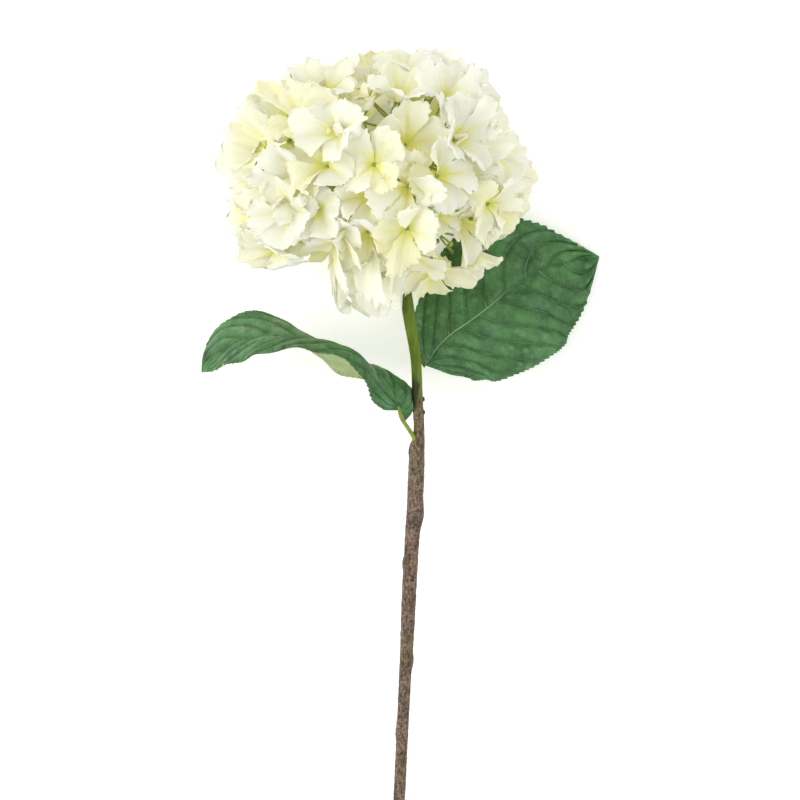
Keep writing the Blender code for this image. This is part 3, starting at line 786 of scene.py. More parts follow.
@dataclass
class Stem:
    """The woody stem, from its cut end to the receptacle in the head."""

    places: tuple[tuple[float, float, float, float], ...] = (
        (-5.3, -267.1, 3.5, 3.9), (-3.5, -225.8, 11.0, 3.9), (-1.3, -176.9, 18.5, 4.0),
        (0.3, -144.2, 24.0, 4.1), (1.8, -113.7, 29.5, 4.5), (2.8, -90.1, 33.5, 4.8),
        (4.2, -63.4, 38.0, 4.7), (5.2, -46.0, 41.0, 4.9), (6.6, -30.2, 44.0, 5.2),
        (7.5, -10.4, 47.5, 5.3), (8.0, 4.0, 50.0, 5.1), (9.0, 15.0, 52.0, 4.1),
        (9.4, 24.0, 53.8, 3.5), (8.4, 42.0, 57.0, 3.5), (7.2, 68.6, 61.5, 3.4),
        (2.5, 98.8, 67.0, 4.0), (-3.6, 138.4, 74.0, 3.6),
    )
    bumps: tuple[Bump, ...] = (
        Bump(34.0, 0.0, 0.4, 2.0), Bump(42.5, 0.0, 0.4, 2.0), Bump(10.0, 165.0, 1.2, 5.0),
        Bump(-33.0, 10.0, 1.3, 7.0), Bump(-66.0, 180.0, 0.9, 4.0), Bump(-131.0, 15.0, 1.0, 5.0),
        Bump(-180.0, 200.0, 0.8, 5.0),
    )
    buds: tuple[Place, ...] = (
        (42.5, 0.0, 1.3), (34.0, 5.0, 1.1), (9.0, 160.0, 1.2),
    )
    sides: int = 32
    rows: int = 640
    bark_relief: float = 0.55 * MM
    bark_end: float = 44.0
    bark_layers: tuple[tuple[str, float, float], ...] = (("coarse", 5.5 * MM, 1.0), ("fine", 1.7 * MM, 0.9))

    def swelling(self, place_y: np.ndarray, turn: np.ndarray) -> np.ndarray:
        """Extra radius in millimetres where a bump stands, by place along Y and turn about the stem."""
        total = np.zeros(len(turn))
        for bump in self.bumps:
            off_along = (place_y - bump.along) / bump.length
            off_turn = (np.degrees(turn) - bump.heading + 180) % 360 - 180
            total += bump.height * np.exp(-(off_along**2) - (off_turn / bump.width) ** 2)
        return total

    def build(self, bark: bpy.types.Material) -> bpy.types.Object:
        """Lays the stem along its line and roughens its bark.

        Args:
            bark: The stem's material.

        Returns:
            The stem.
        """
        model = TubeModel("stem_model", self.sides, self.rows)
        share = pole_shares(self.rows)
        line = np.array([along_curve(np.array(self.places), float(fraction)) for fraction in share])
        swell = self.swelling(line[model.row, 1], model.turn)
        stem = model.bent(line[:, :3] * MM, line[:, 3] * MM, np.array([1.0, 0.0, 0.0]), swell * MM)
        set_attribute(stem, "cut", (model.row == 0).astype(float))
        discard(model.item)
        bark_share = 1.0 - 0.9 * eased(line[model.row, 1], self.bark_end - 8.0, self.bark_end)
        bark_share *= eased(share[model.row], 0.0, 0.004)
        group = stem.vertex_groups.new(name="bark")
        for index, weight in enumerate(bark_share):
            group.add([index], float(weight), "REPLACE")
        for name, size, relief in self.bark_layers:
            texture = bpy.data.textures.new(f"bark_{name}", "CLOUDS")
            texture.noise_scale = size
            texture.noise_depth = 3
            apply_modifier(
                stem, "DISPLACE", texture=texture, texture_coords="LOCAL", vertex_group="bark",
                strength=self.bark_relief * relief, mid_level=0.5,
            )
        low = points_of(stem)
        low[:, 2] = np.maximum(low[:, 2], 0.0)
        set_points(stem, low)
        wear(stem, bark)
        smooth(stem)
        stem.name = stem.data.name = "woody_stem"
        return finish_piece(stem, ["stem"])

    def build_buds(self, skin: bpy.types.Material) -> bpy.types.Object:
        """Sets the small dormant buds on the stem, half sunk in its bark.

        Args:
            skin: The buds' material.

        Returns:
            The buds, as one piece.
        """
        line = np.array(self.places)
        buds = []
        for along, heading, size in self.buds:
            centre = along_curve(line, self.share_at(along))
            turn = math.radians(heading)
            place = centre[:3] + np.array([math.cos(turn), 0.0, math.sin(turn)]) * (centre[3] + 0.2 * size)
            deselect_all()
            bpy.ops.mesh.primitive_uv_sphere_add(segments=16, ring_count=10, radius=size * MM)
            bud = bpy.context.object
            points = points_of(bud)
            points *= np.array([0.8, 1.25, 0.8])
            set_points(bud, points + place * MM)
            buds.append(bud)
        piece = joined(buds, "stem_buds")
        wear(piece, skin)
        smooth(piece)
        return finish_piece(piece, ["stem"])

    def pushed_clear(self, places: np.ndarray, gap: float) -> np.ndarray:
        """Moves places that are in the stem, or too near it, straight out from its line.

        Args:
            places: Places in millimetres, one row each.
            gap: The room to leave beside the stem, in millimetres.

        Returns:
            The places. A face between two of them may still cross the stem.
        """
        shares = np.linspace(0.0, 1.0, 300)
        line = np.array([along_curve(np.array(self.places), float(share)) for share in shares])
        nearest = line[np.argmin(np.linalg.norm(places[:, None] - line[None, :, :3], axis=2), axis=1)]
        off = places - nearest[:, :3]
        reach = np.maximum(np.linalg.norm(off, axis=1), 1e-6)
        room = nearest[:, 3] + gap
        return nearest[:, :3] + off * (np.maximum(reach, room) / reach)[:, None]

    def share_at(self, along: float) -> float:
        """The share of the stem's line, by its places, at a place along Y."""
        line = np.array(self.places)
        shares = np.linspace(0.0, 1.0, 400)
        reached = [along_curve(line, float(share))[1] for share in shares]
        return float(np.interp(along, reached, shares))


# The leaves


@dataclass(frozen=True)
class LeafRow:
    """How the blade lies across its midrib at one place along it.

    Angles are in degrees. The twist turns the whole blade about the midrib,
    and a fold bends the inner or the outer half of one side to the back.
    Widths are in millimetres, from the midrib to the margin.
    """

    place: float
    twist: float
    near_folds: tuple[float, float]
    far_folds: tuple[float, float]
    near_width: float
    far_width: float

    def values(self) -> np.ndarray:
        """All but the place, as one row."""
        return np.array([self.twist, *self.near_folds, *self.far_folds, self.near_width, self.far_width])


@dataclass
class Leaf:
    """One toothed leaf with its stalk. The near side is the lower one in the photograph."""

    name: str
    node: str
    near_turn: int
    stalk: tuple[Place, ...]
    midrib: tuple[Place, ...]
    rows: tuple[LeafRow, ...]
    veins: VeinPlan = VeinPlan()
    thickness: float = 0.7 * MM
    faces_across: int = 72
    faces_along: int = 216
    teeth: int = 43
    tooth_depth: float = 1.7
    tooth_lean: float = 0.8
    quilting: float = 2.1
    rib_groove: float = 0.9
    stalk_radii: tuple[float, float] = (1.5, 0.45)
    lobe_back: tuple[float, float] = (0.0, 0.0)
    stem_gap: float = 1.7
    way_step: float = 0.03
    fold_steps: int = 64
    margin_wave: float = 0.9
    foot_swelling: float = 0.9

    def blade_values(self, place: float) -> np.ndarray:
        """The blade's angles and widths at a place along the midrib, on smooth curves through the rows."""
        index = max(sum(row.place <= place for row in self.rows) - 1, 0)
        index = min(index, len(self.rows) - 2)
        t = (place - self.rows[index].place) / (self.rows[index + 1].place - self.rows[index].place)
        around = [self.rows[min(max(index + step, 0), len(self.rows) - 1)].values() for step in (-1, 0, 1, 2)]
        values = curve_between(*around, t)
        values[5:] = np.maximum(values[5:], 0.0)
        return values

    def blade_frame(self, place: float) -> tuple[np.ndarray, np.ndarray, np.ndarray, np.ndarray]:
        """How the twisted blade lies at a place along its midrib.

        Args:
            place: From 0 at the base to 1 at the tip.

        Returns:
            The midrib's point, its way along, the near side's way across and the face's way up.
        """
        line = np.array(self.midrib)
        step = self.way_step
        way = unit(along_curve(line, min(place + step, 1.0)) - along_curve(line, max(place - step, 0.0)))
        face, _ = axes_across(way, np.array(UP))
        near = np.cross(face, way) * self.near_turn
        twist = math.radians(self.blade_values(place)[0])
        across = math.cos(twist) * near + math.sin(twist) * face
        up = math.cos(twist) * face - math.sin(twist) * near
        return along_curve(line, place), way, across, up

    def blade_points(self, across: np.ndarray, along: np.ndarray) -> np.ndarray:
        """Places of the blade's middle surface.

        Args:
            across: From -1 at the far margin to 1 at the near one, for each vertex.
            along: From 0 to 1, for each vertex.

        Returns:
            One place in millimetres for each vertex.
        """
        places = np.zeros((len(across), 3))
        steps = self.fold_steps
        marks = (np.arange(steps) + 0.5) / steps
        bend = eased(marks, 0.2, 0.8)
        row_of = np.rint(along * self.faces_along).astype(int)
        for row in range(self.faces_along + 1):
            here = row_of == row
            share = row / self.faces_along
            rib, way, turned, up = self.blade_frame(share)
            values = self.blade_values(share)
            saw = (share * self.teeth) % 1.0
            room = min(share / 0.1, (1 - share) / 0.05, 1.0)
            tooth = self.tooth_depth * room * (1 - saw)
            near_side = (1, values[1], values[2], values[5], self.lobe_back[0])
            far_side = (-1, values[3], values[4], values[6], self.lobe_back[1])
            for side, inner, outer, width, lobe in (near_side, far_side):
                chosen = here & ((across > 0) if side > 0 else (across <= 0))
                if not chosen.any():
                    continue
                angles = np.radians(inner + (outer - inner) * bend)
                path = np.cumsum(np.column_stack([np.cos(angles), np.sin(angles)]), axis=0) * width / steps
                path = np.vstack([[0.0, 0.0], path])
                outward = np.abs(across[chosen])
                run = np.interp(outward, np.linspace(0, 1, steps + 1), path[:, 0])
                drop = np.interp(outward, np.linspace(0, 1, steps + 1), path[:, 1])
                bitten = tooth * eased(outward, 0.88, 1.0)
                run = np.maximum(run - bitten, 0.0)
                off_vein = self.veins.off_vein(across[chosen], along[chosen])
                fade = eased(outward, 0.0, 0.12) * (1 - eased(outward, 0.85, 1.0)) * room
                quilt = self.quilting * (np.sin(math.pi * off_vein) ** 0.55 - 0.6) * fade
                quilt = quilt - self.rib_groove * room * np.exp(-((run / 1.7) ** 2))
                wave = self.margin_wave * np.sin(share * 37.0 + side) * eased(outward, 0.6, 1.0) * room
                back = bitten * self.tooth_lean + lobe * outward**1.4 * (1 - eased(share, 0.0, 0.2))
                outwards, upwards = np.outer(side * run, turned), np.outer(quilt + wave - drop, up)
                places[chosen] = rib + outwards + upwards - np.outer(back, way)
        return places

    def stalk_piece(self, model: TubeModel) -> bpy.types.Object:
        """The petiole and the midrib's ridge, with a swollen foot on the stem."""
        line = np.array(self.stalk + self.midrib[:8])
        share = pole_shares(model.rows)
        centres = np.array([along_curve(line, float(fraction)) for fraction in share])
        radii = self.stalk_radii[0] + (self.stalk_radii[1] - self.stalk_radii[0]) * share**0.8
        radii = radii + self.foot_swelling * (1 - eased(share, 0.0, 0.05))
        bare = np.linalg.norm(np.diff(np.array(self.stalk + self.midrib[:1]), axis=0), axis=1).sum()
        whole = np.linalg.norm(np.diff(line, axis=0), axis=1).sum()
        for row, fraction in enumerate(share):
            place = max(0.0, (fraction * whole - bare) / (whole - bare)) * 7 / 8
            sunk = eased(fraction * whole, bare - 4.0, bare + 6.0)
            centres[row] -= self.blade_frame(place)[3] * sunk * (radii[row] * 0.9 + self.rib_groove)
        return model.bent(centres * MM, radii * MM, np.array(UP))

    def build(
        self, stem: Stem, face: bpy.types.Material, back: bpy.types.Material, stalk: bpy.types.Material,
        model: TubeModel,
    ) -> bpy.types.Object:
        """Shapes the blade from a grid, thickens it and adds its stalk.

        Args:
            stem: The stem that the blade keeps clear of.
            face: Material of the upper face.
            back: Material of the underside.
            stalk: Material of the petiole and the midrib.
            model: The stalk to lay along the petiole.

        Returns:
            The leaf.
        """
        blade, across, along = unit_grid(self.name, self.faces_across, self.faces_along)
        set_points(blade, stem.pushed_clear(self.blade_points(across, along), self.stem_gap) * MM)
        edit_whole(blade, merge_points(1e-6))
        self.turn_face_up(blade)
        wear(blade, face, back, stalk)
        apply_modifier(
            blade, "SOLIDIFY", thickness=self.thickness, offset=0.0, material_offset=1, material_offset_rim=0
        )
        rod = self.stalk_piece(model)
        wear(rod, face, back, stalk)
        for polygon in rod.data.polygons:
            polygon.material_index = 2
        leaf = joined([blade, rod], self.name)
        smooth(leaf, 50.0)
        return finish_piece(leaf, [self.node])

    def turn_face_up(self, blade: bpy.types.Object) -> None:
        """Turns the blade's faces so that the upper side is the one the face's way points to."""
        middle = blade.data.polygons[len(blade.data.polygons) // 2]
        if middle.normal.dot(Vector(self.blade_frame(0.5)[3])) < 0:
            edit_whole(blade, bpy.ops.mesh.flip_normals)


def right_leaf() -> Leaf:
    """The broad leaf that spreads to the right, under the head."""
    return Leaf(
        name="leaf_blade_right",
        node="leaf_right",
        near_turn=-1,
        lobe_back=(3.0, 5.0),
        stalk=((6.6, 73.5, 59.4), (10.8, 71.3, 54.2)),
        midrib=(
            (15.2, 66.7, 55.0), (22.3, 77.3, 48.0), (31.9, 86.3, 40.0), (43.9, 94.6, 32.0),
            (56.8, 104.5, 25.0), (71.7, 117.0, 19.0), (86.6, 127.0, 14.5), (107.6, 134.5, 10.0),
            (131.2, 138.6, 5.0),
        ),
        rows=(
            LeafRow(0.00, 0, (-5, 10), (-15, 0), 0, 0),
            LeafRow(0.04, 0, (-5, 10), (-15, 0), 19, 15),
            LeafRow(0.10, 0, (-6, 10), (0, 25), 33, 23),
            LeafRow(0.30, 0, (-8, 12), (10, 30), 46, 43),
            LeafRow(0.50, 0, (-8, 10), (8, 25), 53, 53),
            LeafRow(0.65, 0, (-8, 8), (5, 15), 52, 49),
            LeafRow(0.80, 0, (-6, 6), (3, 10), 44, 29.5),
            LeafRow(0.90, 0, (-4, 5), (0, 5), 31, 12),
            LeafRow(1.00, 0, (0, 5), (0, 5), 0, 0),
        ),
    )


def left_leaf() -> Leaf:
    """The leaf that arches out to the left and stands on its edge."""
    return Leaf(
        name="leaf_blade_left",
        node="leaf_left",
        near_turn=1,
        lobe_back=(3.0, 11.0),
        stalk=((8.4, 14.0, 52.0), (2.2, 23.8, 58.0), (-2.4, 31.0, 60.0)),
        midrib=(
            (-4.0, 38.0, 62.0), (-10.0, 50.0, 66.0), (-19.0, 61.0, 68.0), (-34.0, 69.0, 69.0),
            (-54.0, 77.0, 70.0), (-74.0, 82.0, 70.0), (-97.0, 82.0, 68.0), (-116.0, 75.0, 66.0),
            (-131.5, 60.0, 62.0),
        ),
        rows=(
            LeafRow(0.00, 15, (0, 20), (-30, 0), 0, 0),
            LeafRow(0.04, 20, (0, 25), (-30, 30), 10, 14),
            LeafRow(0.12, 50, (-10, 15), (5, 80), 20, 30),
            LeafRow(0.28, 80, (-25, 20), (15, 40), 38, 40),
            LeafRow(0.48, 78, (-20, 10), (0, 35), 46, 44),
            LeafRow(0.68, 70, (-10, 5), (-10, 5), 42, 42),
            LeafRow(0.84, 63, (-5, 5), (-10, 0), 27, 35),
            LeafRow(0.93, 60, (0, 0), (0, 5), 13, 23),
            LeafRow(1.00, 55, (0, 0), (0, 0), 0, 0),
        ),
    )


# The flower head


@dataclass(frozen=True)
class Floret:
    """Where one floret stands: its eye, the way it faces, its turn, size and cup."""

    eye: Vector
    facing: Vector
    roll: float
    size: float
    cup: float


def scattered(draw: random.Random) -> Vector:
    """A random vector, alike in every direction."""
    return Vector((draw.gauss(0, 1), draw.gauss(0, 1), draw.gauss(0, 1)))


def petal_axes(facing: Vector) -> tuple[Vector, Vector]:
    """Two unit directions square to the way a floret faces, from which its petals' headings count."""
    reference = Vector((0.31, 0.12, 0.94))
    first = (reference - facing * reference.dot(facing)).normalized()
    return first, facing.cross(first)


@dataclass
class Petal:
    """One petal's frame on its floret, and how it is creased and ruffled."""

    floret: Floret
    heading: float
    rank: float
    crease: float
    ruffle: float
    waves: float
    phase: float
    curl: float
    breadth: float
    tint: float
    lean: float
    twist: float
    pleat: float
    length: float
    spread: float
    rise: tuple[float, float]
    eye: np.ndarray = field(init=False)
    facing: np.ndarray = field(init=False)
    out: np.ndarray = field(init=False)
    side: np.ndarray = field(init=False)

    def __post_init__(self) -> None:
        """Works out the petal's own axes."""
        first, second = petal_axes(self.floret.facing)
        self.eye, self.facing = np.array(self.floret.eye), np.array(self.floret.facing)
        self.out = np.array(math.cos(self.heading) * first + math.sin(self.heading) * second)
        self.side = np.cross(self.facing, self.out)

    def half_width(self, reach: np.ndarray) -> np.ndarray:
        """Half the petal's width at a reach, both for a petal of length one."""
        marks = (0.0, 0.10, 0.22, 0.36, 0.50, 0.64, 0.78, 0.90, 1.0)
        widths = (0.045, 0.11, 0.23, 0.36, 0.46, 0.52, 0.52, 0.45, 0.34)
        return self.breadth * np.interp(reach, marks, widths)

    def height(self, out: np.ndarray, wide: np.ndarray) -> np.ndarray:
        """How far the petal has risen off its eye, leaving out its ruffles, for a petal of length one."""
        reach = np.hypot(out, wide)
        fold = self.crease * (1 - 0.55 * eased(reach, 0.3, 1.0))
        cup = self.floret.cup * (self.rise[0] * reach - self.rise[1] * reach * reach)
        bent = self.curl * eased(out, 0.45, 1.15) ** 1.3 + self.lean * reach * eased(out, 0.1, 0.7)
        return cup + bent + np.abs(wide) * np.sin(fold) + self.twist * wide * eased(out, 0.15, 0.7)

    def shaped(self, across: np.ndarray, along: np.ndarray, fringe: np.ndarray) -> np.ndarray:
        """The petal free of its neighbours.

        Args:
            across: From -1 to 1, for each vertex.
            along: From 0 at the eye to 1 at the outer margin.
            fringe: How far each margin vertex is bitten or drawn out, for a petal of length one.

        Returns:
            One place in metres for each vertex.
        """
        edge = eased(np.abs(across), 0.7, 1.0)
        out = along * (1.02 - 0.17 * np.abs(across) ** 2.4) + fringe * eased(along, 0.8, 1.0)
        wide = across * self.half_width(along) * (1 + 2.2 * fringe * edge)
        lift = self.height(out, wide)
        wide = wide * np.cos(self.crease * (1 - 0.55 * eased(np.hypot(out, wide), 0.3, 1.0)))
        wave = np.sin(self.waves * across * math.pi + self.phase + 2.5 * along)
        wave = wave * np.abs(across) ** 0.6 + 0.5 * np.sin(self.phase * 1.7 + 5.0 * across + 3.0 * along)
        lift = lift + self.ruffle * wave * along**1.6
        lift = lift + self.pleat * np.cos(9.5 * across + self.phase) * eased(along, 0.15, 0.75)
        scale = self.length * self.floret.size
        place = np.outer(out * self.spread, self.out) + np.outer(wide * self.spread, self.side)
        return self.eye + scale * (place + np.outer(lift, self.facing))

    def pressed_under(self, places: np.ndarray, over: "Petal", gap: float) -> np.ndarray:
        """Moves places that stand over another petal to just under it.

        Args:
            places: Places of this petal.
            over: The petal that lies on top.
            gap: How far under it they go.

        Returns:
            The moved places.
        """
        scale = over.length * over.floret.size
        off = places - over.eye
        out = off @ over.out / (scale * over.spread)
        wide = off @ over.side / (scale * over.spread)
        top = scale * over.height(out, wide)
        excess = off @ over.facing - top + gap
        width = over.half_width(np.clip(out, 0.0, 1.0))
        inside = eased(out, -0.06, 0.14) * (1 - eased(out, 0.98, 1.22))
        inside = inside * (1 - eased(np.abs(wide), width, width + 0.2))
        share = inside * (1 - eased(excess, 11 * MM, 19 * MM))
        return places - np.outer(np.maximum(excess, 0.0) * share, over.facing)


@dataclass
class FlowerHead:
    """The mophead: florets of four petals on pedicels, on branches from the stem's tip."""

    stem_tip: Place = (-3.6, 138.4, 74.0)
    stem_low: Place = (2.5, 98.8, 67.0)
    centre: Place = (-18.5, 183.0, 78.0)
    reach: Place = (102.0, 79.0, 82.0)
    tilt: float = math.radians(5.0)
    seed: int = 41
    floret_count: int = 54
    eye_depth: float = 0.80
    eye_scatter: float = 0.09
    rim_limit: float = 0.98
    facing_scatter: float = 0.12
    place_choices: int = 90
    turn_choices: int = 9
    floret_sizes: tuple[float, float] = (0.9, 1.06)
    cup_sizes: tuple[float, float] = (0.8, 1.25)
    stem_clearance: float = 28.0 * MM
    petal_length: float = 27.0 * MM
    petal_spread: float = 0.88
    petal_cup: float = 0.7
    cup_rise: tuple[float, float] = (1.25, 0.35)
    tip_reach: float = 0.9
    upper_eyes: tuple[tuple[float, float], ...] = (
        (38, 40), (13, 43), (-20, 21), (0, 2), (-63, 15), (-50, -8), (-37, -24), (-54, -24),
        (21, -10), (40, -3), (66, -17), (19, -33), (-2, -60), (38, -56), (-58, 42), (-30, 50),
        (62, 20), (60, -44), (-30, 2), (52, 22),
    )
    branch_count: int = 9
    branch_reach: float = 0.42
    branch_radius: float = 2.0 * MM
    pedicel_radius: float = 0.75 * MM
    petal_thickness: float = 0.4 * MM
    petal_faces: tuple[int, int] = (18, 12)
    look_seed: int = 7
    rim_lift: float = 0.7
    rim_level: float = 0.15
    rim_span: float = 0.75
    gaps: tuple[tuple[float, float], ...] = (
        (-52, 6), (-23, -17), (47, 21), (0, 37), (49, -45),
    )
    gap_radius: float = 8.0 * MM
    opening: tuple[float, float] = (46.0, -42.5)
    opening_radius: float = 6.5
    least_length: float = 0.5
    rim_margin: float = 0.14
    raggedness: float = 0.022
    rim_waves: tuple[tuple[int, float], ...] = ((19, 0.0), (31, 1.3), (67, 0.5))
    warm_spots: tuple[tuple[float, float, float, float], ...] = (
        (-50, 38, 32, 0.30), (6, 6, 38, 0.10), (35, -45, 34, 0.22), (-87, 0, 30, -0.10), (-4, -76, 26, -0.15),
    )
    filler_count: int = 46
    filler_depth: float = 0.68
    filler_size: tuple[float, float] = (0.88, 1.02)
    filler_faces: tuple[int, int] = (12, 10)
    swells: tuple[Place, ...] = (
        (20, 12, -0.07), (48, 14, 0.05), (105, 22, -0.12), (142, 12, 0.05), (190, 10, -0.06),
        (235, 13, -0.34), (274, 12, 0.14), (291, 9, -0.13), (333, 16, -0.07),
    )
    natural_reach: tuple[float, float] = (102.0, 88.0)
    seen_from: Place = (-3.0, 42.0, 1502.0)
    seen_level: float = 80.0
    leaf_margin: float = 1.6 * MM
    petal_gap: float = 1.1 * MM
    low_level: float = 62 * MM
    eye_radius: float = 1.75 * MM
    branch_sag: float = 2.0 * MM
    pedicel_sag: float = 2.5 * MM

    def __post_init__(self) -> None:
        """Works out the head's frame and places its florets and petals."""
        self.turn = Matrix.Rotation(self.tilt, 3, "Z")
        self.middle = Vector(self.centre) * MM
        self.axes = Vector(self.reach) * MM
        self.florets = self.place_florets()
        self.fillers = self.place_fillers()
        self.petals = self.make_petals()

    def eye_towards(self, direction: Vector, depth: float) -> Vector:
        """Point of the eyes' surface in a direction from the head's centre, in the head's axes."""
        share = Vector(direction[k] / self.axes[k] for k in range(3)).length
        return direction * (depth / share)

    def upper_eye(self, across: float, along: float) -> Vector:
        """Eye in the head's axes for a floret that faces up at a place seen from above."""
        flat = self.turn.inverted() @ Vector((across * MM, along * MM, 0.0))
        share = Vector((flat.x / self.axes.x, flat.y / self.axes.y)).length / self.eye_depth
        if share >= self.rim_limit:
            return flat * (self.rim_limit / share)
        flat.z = self.axes.z * self.eye_depth * math.sqrt(1 - share * share)
        return flat

    def in_outline(self, places: np.ndarray) -> np.ndarray:
        """Draws places in or out about the head's middle, to the outline that the camera sees.

        Args:
            places: Places in metres, one row each.

        Returns:
            The moved places, each at its own height.
        """
        camera = np.array(self.seen_from) * MM
        shrink = (camera[2] - self.seen_level * MM) / (camera[2] - places[:, 2:])
        off = camera[:2] + (places[:, :2] - camera[:2]) * shrink - np.array(self.centre[:2]) * MM
        angle = np.arctan2(off[:, 1], off[:, 0])
        factor = np.ones(len(places))
        for heading, width, amount in self.swells:
            factor += amount * np.exp(-((((np.degrees(angle) - heading + 180) % 360 - 180) / width) ** 2))
        natural = MM / np.hypot(np.cos(angle) / self.natural_reach[0], np.sin(angle) / self.natural_reach[1])
        share = np.maximum(np.linalg.norm(off, axis=1) / natural, 1e-9)
        moved = share * (1 + (factor - 1) * eased(share, 0.35, 0.9))
        past = np.maximum(moved - 0.9 * factor, 0.0)
        waves = sum(np.sin(count * angle + start) for count, start in self.rim_waves)
        margin = self.rim_margin + self.raggedness * waves
        moved = np.minimum(moved, 0.9 * factor) + margin * np.tanh(past / margin)
        off = off * (moved / share)[:, None] + np.array(self.centre[:2]) * MM
        return np.column_stack([camera[:2] + (off - camera[:2]) / shrink, places[:, 2]])

    def near_stem(self, eye: Vector) -> bool:
        """Whether an eye lies too near the stem's line under the head."""
        tip, low = Vector(self.stem_tip) * MM, Vector(self.stem_low) * MM
        axis = (low - tip).normalized()
        off = eye - tip
        down = off.dot(axis)
        return down > 0 and (off - axis * down).length < self.stem_clearance

    def in_gap(self, eye: Vector) -> bool:
        """Whether an eye would fill one of the gaps that show the stalks from above."""
        off = (eye - self.middle).xy
        near = any((off - Vector(gap) * MM).length < self.gap_radius for gap in self.gaps)
        return eye.z > self.middle.z and near

    def kept_free(self, eye: Vector) -> bool:
        """Whether no filler may stand at an eye, beside the stem or in a gap."""
        return self.near_stem(eye) or self.in_gap(eye)

    def petal_tips(self, floret: Floret) -> list[Vector]:
        """Where a floret's four petals end."""
        first, second = petal_axes(floret.facing)
        reach, tips = self.tip_reach, []
        for k in range(4):
            angle = floret.roll + math.radians(90 * k)
            spread = self.petal_spread * reach * (math.cos(angle) * first + math.sin(angle) * second)
            rise = floret.cup * (self.cup_rise[0] * reach - self.cup_rise[1] * reach * reach) * floret.facing
            tips.append(floret.eye + self.petal_length * floret.size * (spread + rise))
        return tips

    def turned_clear(self, floret: Floret, tips: list[Vector]) -> Floret:
        """The floret at the turn that keeps its petals furthest from those placed before."""
        turns = [replace(floret, roll=math.pi / 2 * k / self.turn_choices) for k in range(self.turn_choices)]

        def clearance(choice: Floret) -> float:
            """Smallest distance from this choice's petal tips to the others'."""
            own_tips = self.petal_tips(choice)
            return min(((own - other).length for own in own_tips for other in tips), default=0.0)

        return max(turns, key=clearance)

    def opened(self, facing: Vector) -> Vector:
        """Turns a floret of the rim up to the light, as the open ones are."""
        lift = self.rim_lift * max(0.0, 1.0 - abs(facing.z - self.rim_level) / self.rim_span)
        return (facing + Vector((0.0, 0.0, lift))).normalized()

    def placed(self, own: Vector) -> Vector:
        """The point of the frame at a point in the head's axes."""
        return self.middle + self.turn @ own

    def widest_gap(
        self, draw: random.Random, depth: float, eyes: list[Vector], seen: Callable[[Vector], Vector],
        barred: Callable[[Vector], bool],
    ) -> Vector:
        """The random eye that stands furthest from those already there.

        Args:
            draw: Where the random eyes come from.
            depth: How deep they lie, as a share of the head's reach.
            eyes: Those already there.
            seen: Turns an eye in the head's axes into what eyes are measured in.
            barred: Whether no eye may stand at a point of the frame.

        Returns:
            The eye, in the head's axes.
        """
        best, best_gap = None, -1.0
        for _ in range(self.place_choices):
            own = self.eye_towards(scattered(draw).normalized(), depth)
            gap = min((seen(own) - other).length for other in eyes)
            if gap > best_gap and not barred(self.placed(own)):
                best, best_gap = own, gap
        return best

    def place_florets(self) -> list[Floret]:
        """Florets over the whole head, placed by the same rule as the solid's."""
        draw = random.Random(self.seed)
        eyes = [self.upper_eye(*place) for place in self.upper_eyes]
        while len(eyes) < self.floret_count:
            eyes.append(self.widest_gap(draw, self.eye_depth, eyes, lambda own: own, self.near_stem))
        florets, tips = [], []
        for eye in eyes:
            normal = Vector(eye[k] / self.axes[k] ** 2 for k in range(3)).normalized()
            lean = scattered(draw) * self.facing_scatter
            floret = Floret(
                eye=self.middle + self.turn @ (eye * (1 + self.eye_scatter * draw.uniform(-1, 1))),
                facing=self.opened((self.turn @ (normal + lean)).normalized()),
                roll=0.0,
                size=draw.uniform(*self.floret_sizes),
                cup=self.petal_cup * draw.uniform(*self.cup_sizes),
            )
            floret = self.turned_clear(floret, tips)
            tips += self.petal_tips(floret)
            florets.append(floret)
        return florets

    def place_fillers(self) -> list[Floret]:
        """Smaller florets that sit deeper, in the widest gaps between the others."""
        draw = random.Random(self.look_seed)
        eyes = [floret.eye for floret in self.florets]
        fillers = []
        while len(fillers) < self.filler_count:
            best = self.widest_gap(draw, self.filler_depth, eyes, self.placed, self.kept_free)
            normal = Vector(best[k] / self.axes[k] ** 2 for k in range(3)).normalized()
            lean = scattered(draw) * self.facing_scatter
            eyes.append(self.placed(best))
            fillers.append(
                Floret(
                    eye=eyes[-1],
                    facing=self.opened((self.turn @ (normal + lean)).normalized()),
                    roll=draw.uniform(0, math.pi / 2),
                    size=draw.uniform(*self.filler_size),
                    cup=self.petal_cup * draw.uniform(1.1, 1.5),
                )
            )
        return fillers

    def warmth(self, eye: Vector) -> float:
        """How much yellower a floret is at this place in the head."""
        total = 0.0
        for side, along, reach, amount in self.warm_spots:
            off = ((eye - self.middle).xy - Vector((side, along)) * MM).length / (reach * MM)
            total += amount * math.exp(-(off**2))
        return total

    def seen_offsets(self, places: np.ndarray) -> np.ndarray:
        """Where the camera sees places, in millimetres from the head's middle at the level of the outline."""
        camera = np.array(self.seen_from)
        placed = self.in_outline(places) / MM
        shrink = (camera[2] - self.seen_level) / (camera[2] - placed[:, 2:])
        return camera[:2] + (placed[:, :2] - camera[:2]) * shrink - np.array(self.centre[:2])

    def in_opening(self, eye: np.ndarray) -> bool:
        """Whether an eye is seen in the opening, where its petals have fallen."""
        off = self.seen_offsets(np.array([eye]))[0] - np.array(self.opening)
        return float(np.linalg.norm(off)) < self.opening_radius

    def shorten(self, petal: Petal) -> None:
        """Shortens a petal until it ends beside the opening over the leaf."""
        across, along = (grid.ravel() for grid in np.meshgrid(np.linspace(-1, 1, 7), np.linspace(0.1, 1, 7)))
        for _ in range(9):
            places = petal.shaped(across, along, np.zeros(len(across)))
            off = self.seen_offsets(places) - np.array(self.opening)
            if np.linalg.norm(off, axis=1).min() > self.opening_radius:
                return
            petal.length *= 0.88

